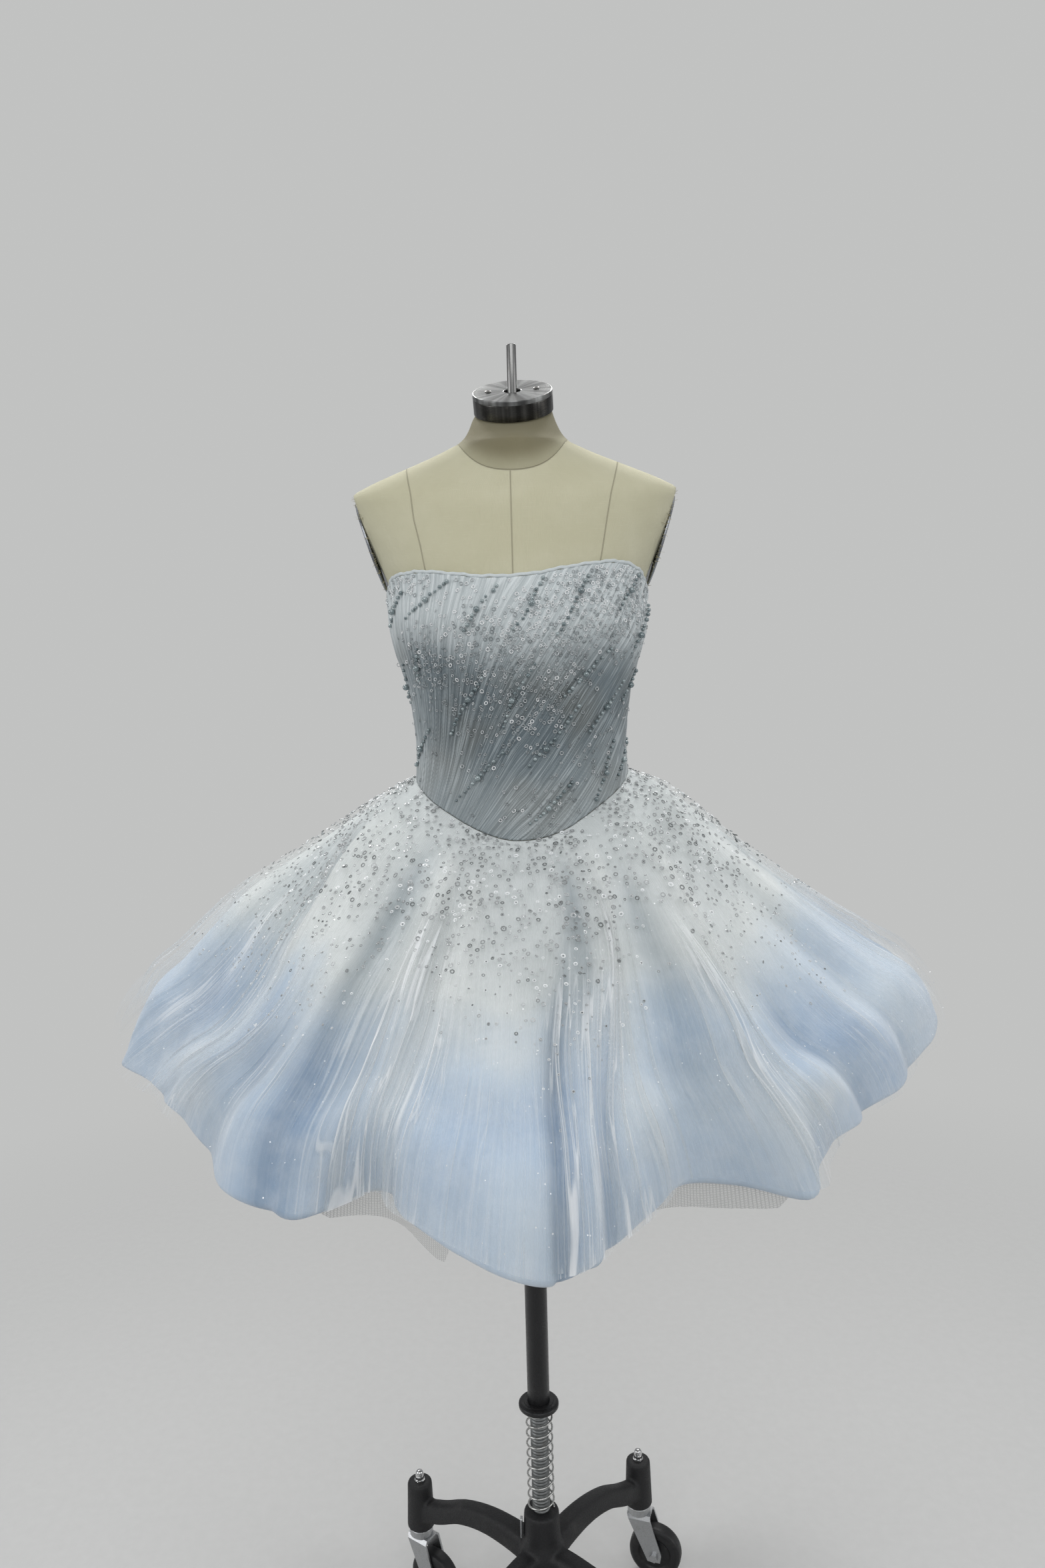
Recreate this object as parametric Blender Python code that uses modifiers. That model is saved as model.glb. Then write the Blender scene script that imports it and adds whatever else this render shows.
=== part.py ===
"""Strapless ball gown on a limbless dress form with a castor stand.

Metres, +Z up.  The front of the gown faces -Y and +X is its left-hand side as
a person facing it sees the right.  The floor is z = 0 and the pole stands on
the Z axis.  Angles round the body are measured from the front, towards +X.
"""
import math

import bmesh
import bpy
from mathutils import Matrix, Vector

# ---------------------------------------------------------------- sizes
GAP = 0.0003              # between pieces that touch
EASE = 0.0011             # air between the form and the cloth on it
BODICE_WALL = 0.0016
SKIRT_WALL = 0.0012
PLEAT_PITCH = 0.030       # large folds of the pleated tulle on the bodice
PLEAT_DEPTH = 0.0022
SKIRT_REACH_X = 0.518     # half of the skirt's width
SKIRT_REACH_Y = 0.487     # half of the skirt's depth
WAIST_DROP = 0.0020       # the skirt starts this far under the waist seam
HEM_MEAN = 0.452          # the hem's mean distance from the axis

ROD_R, ROD_TOP = 0.0056, 1.687
CAP_R, CAP_BAND, CAP_TOP = 0.0465, 0.0235, 1.6360
CAP_TURN = Matrix.Rotation(math.radians(-3), 4, "Y") @ Matrix.Rotation(math.radians(28.5), 4, "X")
CAP_HOLE_R = 0.0099
CAP_PLATE, CAP_WALL = 0.003, 0.0015
NECK_DROP = 0.012         # the neck block ends this far under the cap's face

FORM_BOTTOM = 0.885
BOARD = 0.016
POLE_R, POLE_BORE, POST_R = 0.014, 0.0118, 0.0115
COLLAR_R, COLLAR_TOP, COLLAR_T = 0.0255, 0.391, 0.008
HUB_TOP, HUB_BOTTOM = 0.241, 0.125
SPRING_R, SPRING_WIRE, SPRING_TURNS = 0.0163, 0.00125, 10.0
POST_TOP = 0.800
ARM_REACH = 0.223
BOSS_TOP, BOSS_BOTTOM = 0.173, 0.106
WHEEL_R, WHEEL_W, TRAIL = 0.0375, 0.024, 0.024
CASTORS = (               # name, angle of the arm, angle of the trail
    ("back_right", 50.5, -18.0),
    ("back_left", 140.5, -35.0),
    ("front_left", 230.5, -60.0),
    ("front_right", 320.5, 10.0),
)

# height, half width, depth in front, depth behind
FORM_SECTIONS = (
    (0.8850, 0.1580, 0.105, 0.125),
    (0.9500, 0.1655, 0.108, 0.130),
    (1.0200, 0.1630, 0.110, 0.128),
    (1.0800, 0.1500, 0.111, 0.112),
    (1.1270, 0.1370, 0.109, 0.100),
    (1.1600, 0.1275, 0.104, 0.090),
    (1.1900, 0.1220, 0.100, 0.084),
    (1.2250, 0.1200, 0.097, 0.081),
    (1.2560, 0.1220, 0.099, 0.083),
    (1.2880, 0.1265, 0.103, 0.086),
    (1.3200, 0.1350, 0.110, 0.091),
    (1.3430, 0.1420, 0.115, 0.096),
    (1.3660, 0.1465, 0.116, 0.100),
    (1.3900, 0.1480, 0.112, 0.103),
    (1.4150, 0.1500, 0.104, 0.106),
    (1.4400, 0.1610, 0.096, 0.108),
    (1.4700, 0.1760, 0.085, 0.106),
    (1.5000, 0.1900, 0.074, 0.099),
    (1.5150, 0.1950, 0.067, 0.092),
    (1.5290, 0.1720, 0.062, 0.084),
    (1.5440, 0.1360, 0.057, 0.072),
    (1.5590, 0.0980, 0.053, 0.061),
    (1.5720, 0.0690, 0.0505, 0.0535),
)
# the neck above them leans forward: centre y, centre z, half width, half depth, tilt, roll
NECK_SECTIONS = (
    (0.0030, 1.5835, 0.0580, 0.0490, 7.0, 0.7),
    (0.0060, 1.5945, 0.0520, 0.0475, 15.0, 1.5),
    (0.0088, 1.6055, 0.0478, 0.0460, 22.5, 2.3),
)

# angle, height of the top edge of the bodice
TOP_EDGE = (
    (-180, 1.3890), (-145, 1.3905), (-115, 1.3945), (-90, 1.3985), (-76, 1.4075), (-64, 1.4190),
    (-54, 1.4218), (-40, 1.4228), (-25, 1.4185), (-12, 1.4143), (0, 1.4143), (7, 1.4166),
    (17, 1.4218), (28, 1.4262), (38, 1.4288), (48, 1.4275), (58, 1.4222), (64, 1.4180),
    (75, 1.4065), (90, 1.3985), (115, 1.3945), (145, 1.3905), (180, 1.3890),
)
# angle, height of the seam where the bodice meets the skirt
WAIST_SEAM = (
    (-180, 1.1970), (-150, 1.1970), (-120, 1.1965), (-90, 1.1930), (-75, 1.1870), (-62, 1.1785),
    (-53, 1.1715), (-36, 1.1572), (-24, 1.1451), (-13, 1.1346), (-4, 1.1290), (5, 1.1300),
    (16, 1.1378), (27, 1.1500), (41, 1.1645), (57, 1.1775), (75, 1.1895), (90, 1.1950),
    (120, 1.1965), (150, 1.1970), (180, 1.1970),
)
# how far the skirt bells out of its chord: share of the way down, left side, right side
BELL = (
    (0.00, 0.000, 0.000), (0.10, 0.014, 0.017), (0.20, 0.024, 0.021), (0.35, 0.032, 0.022),
    (0.50, 0.042, 0.025), (0.62, 0.039, 0.027), (0.75, 0.034, 0.032), (0.84, 0.034, 0.036),
    (0.92, 0.022, 0.025), (1.00, 0.000, 0.000),
)
# the lobes of the hem: angle, distance from the axis, height
HEM_LOBES = (
    (-172, 0.480, 0.848), (-155, 0.425, 0.872), (-138, 0.490, 0.850),
    (-120, 0.435, 0.880), (-107, 0.500, 0.868), (-91, 0.525, 0.853),
    (-82, 0.462, 0.846), (-72, 0.430, 0.842), (-57, 0.424, 0.840),
    (-46, 0.434, 0.838), (-36, 0.448, 0.838), (-29, 0.436, 0.838),
    (-23.5, 0.382, 0.846), (-17, 0.408, 0.842), (-9, 0.450, 0.838),
    (1.5, 0.492, 0.836), (9, 0.452, 0.838), (15, 0.408, 0.842),
    (21, 0.380, 0.846), (27, 0.392, 0.842), (34, 0.440, 0.838),
    (42, 0.420, 0.842), (50, 0.403, 0.845), (60, 0.408, 0.845),
    (70, 0.428, 0.850), (82, 0.466, 0.862), (94, 0.512, 0.880),
    (107, 0.455, 0.870), (121, 0.425, 0.880), (138, 0.490, 0.855),
    (155, 0.418, 0.875), (170, 0.476, 0.850),
)


# ---------------------------------------------------------------- helpers
def clear_scene():
    for thing in list(bpy.data.objects):
        bpy.data.objects.remove(thing, do_unlink=True)


def collection(name):
    found = bpy.data.collections.get(name) or bpy.data.collections.new(name)
    if name not in bpy.context.scene.collection.children:
        bpy.context.scene.collection.children.link(found)
    return found


def material(name, colour, rough, metal=0.0):
    made = bpy.data.materials.get(name) or bpy.data.materials.new(name)
    made.use_nodes = True
    bsdf = made.node_tree.nodes["Principled BSDF"]
    bsdf.inputs["Base Color"].default_value = (*colour, 1.0)
    bsdf.inputs["Roughness"].default_value = rough
    bsdf.inputs["Metallic"].default_value = metal
    made.diffuse_color = (*colour, 1.0)
    return made


LOOKS = {
    "tulle_bodice": ((0.34, 0.42, 0.47), 0.75, 0.0),
    "tulle_white": ((0.72, 0.76, 0.78), 0.75, 0.0),
    "tulle_blue": ((0.42, 0.55, 0.66), 0.75, 0.0),
    "crinoline": ((0.36, 0.38, 0.40), 0.80, 0.0),
    "binding": ((0.85, 0.87, 0.88), 0.60, 0.0),
    "zip": ((0.60, 0.66, 0.70), 0.50, 0.0),
    "linen": ((0.60, 0.52, 0.42), 0.90, 0.0),
    "steel": ((0.55, 0.53, 0.50), 0.35, 1.0),
    "arm_plate": ((0.08, 0.08, 0.085), 0.45, 0.6),
    "wood": ((0.45, 0.32, 0.20), 0.65, 0.0),
    "black_paint": ((0.015, 0.015, 0.016), 0.50, 0.0),
    "zinc": ((0.50, 0.48, 0.42), 0.40, 1.0),
    "rubber": ((0.012, 0.012, 0.013), 0.70, 0.0),
}


def add(name, mesh, look, smooth=True, hidden=False):
    thing = bpy.data.objects.new(name, mesh)
    (CUTTERS if hidden else PARTS).objects.link(thing)
    if hidden:
        thing.hide_render = True
        thing.display_type = "WIRE"
    else:
        mesh.materials.append(material(name + "_" + look, *LOOKS[look]))
    if smooth:
        mesh.shade_smooth()
        mesh.set_sharp_from_angle(angle=math.radians(35))
    return thing


def sheet_mesh(name, rows, closed=False):
    """A skin through rows of points, the first row on top; its faces look out."""
    mesh = bpy.data.meshes.new(name)
    made = bmesh.new()
    grid = [[made.verts.new(p) for p in row] for row in rows]
    count = len(rows[0])
    for upper, lower in zip(grid, grid[1:]):
        for j in range(count if closed else count - 1):
            k = (j + 1) % count
            made.faces.new((upper[j], lower[j], lower[k], upper[k]))
    made.to_mesh(mesh)
    made.free()
    return mesh


def shell(name, rows, look, wall, closed=False):
    """A skin thickened inwards."""
    thing = add(name, sheet_mesh(name, rows, closed), look)
    solid = thing.modifiers.new("wall", "SOLIDIFY")
    solid.thickness = wall
    solid.offset = -1.0
    return thing


def closed_loft(name, rows, look):
    """A solid through rings of points, top ring first, its two ends filled."""
    mesh = sheet_mesh(name, rows, closed=True)
    made = bmesh.new()
    made.from_mesh(mesh)
    made.verts.ensure_lookup_table()
    count = len(rows[0])
    made.faces.new([made.verts[j] for j in range(count)])
    made.faces.new([made.verts[(len(rows) - 1) * count + j] for j in reversed(range(count))])
    made.to_mesh(mesh)
    made.free()
    return add(name, mesh, look)


def turned(name, profile, look, steps=24, at=(0, 0, 0), turn=None, closed=True):
    """A profile of (radius, height), top to bottom on its outer side, turned round Z."""
    mesh = bpy.data.meshes.new(name)
    made = bmesh.new()
    verts = [made.verts.new((r, 0.0, z)) for r, z in profile]
    pairs = list(zip(verts, verts[1:]))
    if closed:
        pairs.append((verts[-1], verts[0]))
    for a, b in pairs:
        made.edges.new((a, b))
    made.to_mesh(mesh)
    made.free()
    thing = add(name, mesh, look, smooth=False)
    screw = thing.modifiers.new("turn", "SCREW")
    screw.steps = steps
    screw.render_steps = steps
    screw.use_merge_vertices = True
    screw.merge_threshold = 0.00005
    screw.use_smooth_shade = True
    thing.matrix_world = Matrix.Translation(at) @ (turn or Matrix.Identity(4))
    return thing


def disc(name, radius, top, bottom, look, steps=24, at=(0, 0, 0), turn=None, edge=0.0):
    """A solid cylinder whose rims are cut back by edge."""
    if edge:
        profile = [(0, top), (radius - edge, top), (radius, top - edge),
                   (radius, bottom + edge), (radius - edge, bottom), (0, bottom)]
    else:
        profile = [(0, top), (radius, top), (radius, bottom), (0, bottom)]
    return turned(name, profile, look, steps, at, turn, closed=False)


def ring(name, outer, inner, top, bottom, look, steps=24, at=(0, 0, 0), turn=None):
    return turned(name, [(inner, top), (outer, top), (outer, bottom), (inner, bottom)],
                  look, steps, at, turn)


def join_by_union(thing, others):
    for other in others:
        cut = thing.modifiers.new("join_" + other.name, "BOOLEAN")
        cut.operation = "UNION"
        cut.solver = "EXACT"
        cut.object = other
        for old in list(other.users_collection):
            old.objects.unlink(other)
        CUTTERS.objects.link(other)
        other.hide_render = True
        other.display_type = "WIRE"


def lookup(table, angle, column=1, period=None):
    """A smooth curve through a table's rows, read at an angle."""
    rows = list(table)
    if period:
        rows = ([(r[0] - period, *r[1:]) for r in rows[-2:]] + rows
                + [(r[0] + period, *r[1:]) for r in rows[:2]])
        angle = (angle + 180.0) % 360.0 - 180.0
        if angle < rows[1][0]:
            angle += 0.0
    angle = max(rows[0][0], min(rows[-1][0], angle))
    for i in range(len(rows) - 1):
        if rows[i][0] <= angle <= rows[i + 1][0]:
            break
    a, b = rows[i], rows[i + 1]
    span = b[0] - a[0]
    t = (angle - a[0]) / span
    before = rows[i - 1] if i else a
    after = rows[i + 2] if i + 2 < len(rows) else b
    slope_a = (b[column] - before[column]) / ((b[0] - before[0]) or span)
    slope_b = (after[column] - a[column]) / ((after[0] - a[0]) or span)
    h = (2 * t**3 - 3 * t**2 + 1, t**3 - 2 * t**2 + t, -2 * t**3 + 3 * t**2, t**3 - t**2)
    return h[0] * a[column] + h[1] * span * slope_a + h[2] * b[column] + h[3] * span * slope_b


def form_point(angle, z, out=0.0):
    """A point of the form's skin at an angle from the front, moved out."""
    a = math.radians(angle)
    s, c = math.sin(a), math.cos(a)
    half = lookup(FORM_SECTIONS, z, 1) + out
    deep = (lookup(FORM_SECTIONS, z, 2) if c > 0 else lookup(FORM_SECTIONS, z, 3)) + out
    fullness = 0.90
    x = math.copysign(abs(s) ** fullness, s) * half
    y = -math.copysign(abs(c) ** fullness, c) * deep
    return Vector((x, y, z))


def top_edge(angle):
    return lookup(TOP_EDGE, signed(angle) if abs(angle) > 180 else angle)


def waist_seam(angle):
    return lookup(WAIST_SEAM, signed(angle) if abs(angle) > 180 else angle)


def pleat(angle, z):
    """Relief of the slanted pleats, which fall from the upper right to the lower left."""
    along = math.radians(angle) * 0.135
    lean = 0.62 - 0.20 * math.sin(math.radians(angle))
    phase = (along - (z - 1.28) * lean) / PLEAT_PITCH
    wave = phase - math.floor(phase)
    return PLEAT_DEPTH * (wave if wave < 0.8 else (1.0 - wave) * 4.0)


def hem(angle):
    r = lookup(HEM_LOBES, angle, 1, 360.0)
    z = lookup(HEM_LOBES, angle, 2, 360.0)
    return r, z


def reach():
    """Scales that bring the lobes on each side to the skirt's named reach."""
    spots = []
    for i in range(720):
        angle = i * 0.5 - 180.0
        a = math.radians(angle)
        r = hem(angle)[0]
        spots.append((r * math.sin(a), -r * math.cos(a)))
    return (SKIRT_REACH_X / -min(p[0] for p in spots), SKIRT_REACH_X / max(p[0] for p in spots),
            SKIRT_REACH_Y / -min(p[1] for p in spots), SKIRT_REACH_Y / max(p[1] for p in spots))


def outer_point(angle, s):
    """A point of the outer skirt: s runs from 0 at the waist to 1 at the hem."""
    a = math.radians(angle)
    top = form_point(angle, waist_seam(signed(angle)) - WAIST_DROP, EASE + 0.0025)
    r_hem, z_hem = hem(angle)
    radial = Vector((math.sin(a), -math.cos(a), 0.0))
    low, mean_low = radial * r_hem, radial * HEM_MEAN
    for spot in (low, mean_low):
        for axis, (neg, pos) in ((0, REACH[0:2]), (1, REACH[2:4])):
            spot[axis] *= neg if spot[axis] < 0 else pos
    right = 0.5 + 0.5 * math.sin(a)
    bell = lookup(BELL, s, 1) * (1.0 - right) + lookup(BELL, s, 2) * right
    if s > 1.0:
        bell = -0.26 * (s - 1.0)
    flat = top.lerp(mean_low, s) + (low - mean_low) * s ** 1.35 + radial * (bell * 0.72)
    z = top.z + (z_hem - top.z) * s + bell * 0.66
    return Vector((flat.x, flat.y, z))


def signed(angle):
    return (angle + 180.0) % 360.0 - 180.0


def skirt_point(angle, s, layer):
    """A point of a layer: the outer skirt moved in along its normal."""
    s = s * layer["length"]
    spot = outer_point(angle, s)
    if not layer["inside"]:
        return spot
    along = outer_point(angle + 1.5, s) - outer_point(angle - 1.5, s)
    down = outer_point(angle, s + 0.02) - outer_point(angle, max(0.0, s - 0.02))
    normal = down.cross(along).normalized()
    blend = min(1.0, s / 0.16)
    blend = blend * blend * (3.0 - 2.0 * blend)
    deep = layer["inside"] * (0.45 + 0.55 * s)
    return spot - normal * (deep * blend) - Vector((0, 0, layer["drop"])) * (1.0 - blend)


# ---------------------------------------------------------------- the gown
LAYERS = {
    "skirt": {"drop": 0.0, "inside": 0.0, "length": 1.0},
    "underskirt": {"drop": 0.0055, "inside": 0.0085, "length": 0.985},
    "petticoat": {"drop": 0.0110, "inside": 0.0185, "length": 1.035},
}


def bodice_rows(start, end, columns, rows, relief):
    out = []
    for i in range(rows + 1):
        v = i / rows
        line = []
        for j in range(columns + 1):
            angle = start + (end - start) * j / columns
            z = top_edge(angle) + (waist_seam(angle) - top_edge(angle)) * v
            line.append(form_point(angle, z, EASE + BODICE_WALL + (pleat(angle, z) if relief else 0.0)))
        out.append(line)
    return out


def build_bodice():
    seam = 0.10            # degrees: half of the seam gap
    shell("bodice_front", bodice_rows(-90 + seam, 90 - seam, 30, 10, True), "tulle_bodice", BODICE_WALL)
    shell("bodice_back_right", bodice_rows(90 + seam, 180 - seam, 12, 7, True), "tulle_bodice", BODICE_WALL)
    shell("bodice_back_left", bodice_rows(-180 + seam, -90 - seam, 12, 7, True), "tulle_bodice", BODICE_WALL)
    # the bound top edge, a narrow strip that stands on the edge of the bodice
    # its columns stand over those of the bodice, so the gap between them stays even
    back = [90 + seam + (90 - 2 * seam) * k / 12 for k in range(1, 12)]
    front = [-90 + seam + (180 - 2 * seam) * k / 30 for k in range(1, 30)]
    around = [-179.6] + [-a for a in reversed(back)] + [-90.0] + front + [90.0] + back + [179.6]
    rows = []
    for lift in (0.0042, GAP):
        line = []
        for angle in around:
            z = top_edge(angle) + lift
            line.append(form_point(angle, z, EASE + BODICE_WALL + 0.0012))
        rows.append(line)
    shell("neck_binding", rows, "binding", 0.0022)


def build_zip():
    rows = []
    for i in range(9):
        z = 1.3850 - (1.3850 - 1.2050) * i / 8
        y = max(form_point(a, z, EASE + BODICE_WALL + PLEAT_DEPTH).y for a in (178.0, 179.8)) + GAP
        rows.append([Vector((0.0022, y + 0.0016, z)), Vector((-0.0022, y + 0.0016, z))])
    shell("zip_chain", rows, "zip", 0.0014)
    y = rows[0][0].y
    z = rows[0][0].z - 0.004
    body = bmesh.new()
    bmesh.ops.create_cube(body, size=1.0)
    bmesh.ops.scale(body, vec=(0.0055, 0.0020, 0.0080), verts=body.verts)
    mesh = bpy.data.meshes.new("zip_slider")
    body.to_mesh(mesh)
    body.free()
    slider = add("zip_slider", mesh, "zip", smooth=False)
    slider.location = (0, y + GAP + 0.0016, z)
    # the pull tab hangs from the slider's bail
    tab = bmesh.new()
    bmesh.ops.create_cube(tab, size=1.0)
    bmesh.ops.scale(tab, vec=(0.0042, 0.0012, 0.0200), verts=tab.verts)
    bmesh.ops.translate(tab, vec=(0, 0, -0.0100), verts=tab.verts)
    mesh = bpy.data.meshes.new("zip_pull")
    tab.to_mesh(mesh)
    tab.free()
    pull = add("zip_pull", mesh, "zip", smooth=False)
    pull.location = (0, y + 0.0036 + GAP + 0.0009, z - 0.0010)
    bevel = pull.modifiers.new("edge", "BEVEL")
    bevel.width = 0.0004
    bevel.segments = 1


def skirt_panel(name, layer, start, end, columns, shares, look, wall):
    seam = 0.06
    grid = []
    for s in shares:
        line = []
        for j in range(columns + 1):
            angle = (start + seam) + (end - start - 2 * seam) * j / columns
            line.append(skirt_point(angle, s, LAYERS[layer]))
        grid.append(line)
    shell(name, grid, look, wall)


def build_skirt():
    fine = (0.0, 0.06, 0.15, 0.28, 0.42, 0.56, 0.69, 0.80, 0.90, 1.0)
    plain = (0.0, 0.13, 0.33, 0.56, 0.80, 1.0)
    skirt_panel("skirt_front", "skirt", -90, 90, 40, fine, "tulle_white", SKIRT_WALL)
    skirt_panel("skirt_back_right", "skirt", 90, 180, 20, fine, "tulle_white", SKIRT_WALL)
    skirt_panel("skirt_back_left", "skirt", -180, -90, 20, fine, "tulle_white", SKIRT_WALL)
    skirt_panel("underskirt_front", "underskirt", -90, 90, 40, plain, "tulle_blue", SKIRT_WALL)
    skirt_panel("underskirt_back", "underskirt", 90, 270, 40, plain, "tulle_blue", SKIRT_WALL)
    skirt_panel("petticoat_front", "petticoat", -90, 90, 40, plain, "crinoline", SKIRT_WALL)
    skirt_panel("petticoat_back", "petticoat", 90, 270, 40, plain, "crinoline", SKIRT_WALL)


# ---------------------------------------------------------------- the form
def build_form():
    count = 32
    rings = []
    cap_axis = CAP_TURN.to_3x3() @ Vector((0, 0, 1))
    cap_face = Vector((0, 0, CAP_TOP))
    neck_top = cap_face - cap_axis * NECK_DROP
    band_foot = cap_face - cap_axis * CAP_BAND
    inner = CAP_R - CAP_WALL - 0.0007
    tilt = CAP_TURN.to_3x3()
    for centre, radius in ((neck_top, inner), (band_foot, inner)):
        rings.append([centre + tilt @ Vector((radius * math.sin(2 * math.pi * j / count),
                                              -radius * math.cos(2 * math.pi * j / count), 0))
                      for j in range(count)])
    for y, z, half, deep, lean, roll in reversed(NECK_SECTIONS):
        turn = Matrix.Rotation(math.radians(-roll), 3, "Y") @ Matrix.Rotation(math.radians(lean), 3, "X")
        rings.append([Vector((0, y, z)) + turn @ Vector((half * math.sin(2 * math.pi * j / count),
                                                         -deep * math.cos(2 * math.pi * j / count), 0))
                      for j in range(count)])
    for row in reversed(FORM_SECTIONS):
        rings.append([form_point(360.0 * j / count, row[0]) for j in range(count)])
    torso = closed_loft("form_torso", rings, "linen")

    # flat armholes: a slanted block is cut from each shoulder
    for name, side in (("left", -1), ("right", 1)):
        top, foot = Vector((0.1865 * side, 0, 1.521)), Vector((0.1500 * side, 0, 1.404))
        down = (foot - top).normalized()
        outward = Vector((-down.z * side, 0, down.x * side))
        if outward.x * side < 0:
            outward.negate()
        middle = (top + foot) / 2
        frame = Matrix((outward, Vector((0, 1, 0)), -down)).transposed().to_4x4()
        block = bmesh.new()
        bmesh.ops.create_cube(block, size=1.0)
        bmesh.ops.scale(block, vec=(0.06, 0.24, 0.150), verts=block.verts)
        bmesh.ops.translate(block, vec=(0.03, 0, 0.010), verts=block.verts)
        mesh = bpy.data.meshes.new("armhole_cutter_" + name)
        block.to_mesh(mesh)
        block.free()
        cutter = add("armhole_cutter_" + name, mesh, "linen", smooth=False, hidden=True)
        if frame.determinant() < 0:
            frame = Matrix((outward, Vector((0, -1, 0)), -down)).transposed().to_4x4()
        cutter.matrix_world = Matrix.Translation(middle) @ frame
        cut = torso.modifiers.new("armhole_" + name, "BOOLEAN")
        cut.operation = "DIFFERENCE"
        cut.solver = "EXACT"
        cut.object = cutter
        plate_frame = Matrix.Translation(middle + outward * GAP + Vector((0, 0.010, 0))) @ frame
        turn = Matrix.Rotation(math.radians(90), 4, "Y")
        plate = disc("arm_plate_" + name, 1.0, 0.0030, 0.0, "arm_plate", 28)
        plate.modifiers.clear()
        flat = bmesh.new()
        bmesh.ops.create_cone(flat, cap_ends=True, segments=28, radius1=0.055, radius2=0.0535, depth=0.003)
        bmesh.ops.translate(flat, vec=(0, 0, 0.0015), verts=flat.verts)
        bmesh.ops.scale(flat, vec=(1.0, 0.74, 1.0), verts=flat.verts)
        flat.to_mesh(plate.data)
        flat.free()
        plate.matrix_world = plate_frame @ turn

    # cap: a face plate with a hole, and a band that hangs round the neck block
    h = CAP_R - 0.0012
    turned("neck_cap", [(CAP_HOLE_R, 0.0), (h, 0.0), (CAP_R, -0.0012), (CAP_R, -CAP_BAND),
                        (CAP_R - CAP_WALL, -CAP_BAND), (CAP_R - CAP_WALL, -CAP_PLATE),
                        (CAP_HOLE_R, -CAP_PLATE)],
           "steel", 28, at=cap_face, turn=CAP_TURN)
    for name, x in (("left", -0.028), ("right", 0.028)):
        disc("cap_screw_" + name, 0.0036, 0.0016, 0.0, "steel", 12,
             at=cap_face + cap_axis * GAP + tilt @ Vector((x, 0, 0)),
             turn=CAP_TURN, edge=0.0005)
    # the rod stands on the slanted top of the neck block
    flat = math.hypot(cap_axis.x, cap_axis.y)
    foot = neck_top.dot(cap_axis) / cap_axis.z + ROD_R * flat / cap_axis.z + GAP
    disc("top_rod", ROD_R, ROD_TOP, foot, "steel", 16, edge=0.0004)

    # board under the form, and the socket that turns on the pole
    outline = [form_point(360.0 * j / 36, FORM_BOTTOM, -0.004) for j in range(36)]
    rows = [[Vector((p.x, p.y, FORM_BOTTOM - GAP)) for p in outline],
            [Vector((p.x, p.y, FORM_BOTTOM - GAP - BOARD)) for p in outline]]
    closed_loft("form_board", rows, "wood")
    under = FORM_BOTTOM - BOARD - 2 * GAP
    bore = POLE_R + GAP
    turned("pole_socket", [(bore, under), (0.035, under), (0.035, under - 0.004), (0.0185, under - 0.006),
                           (0.0185, under - 0.030), (bore, under - 0.030)], "black_paint", 24)
    return under


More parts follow.
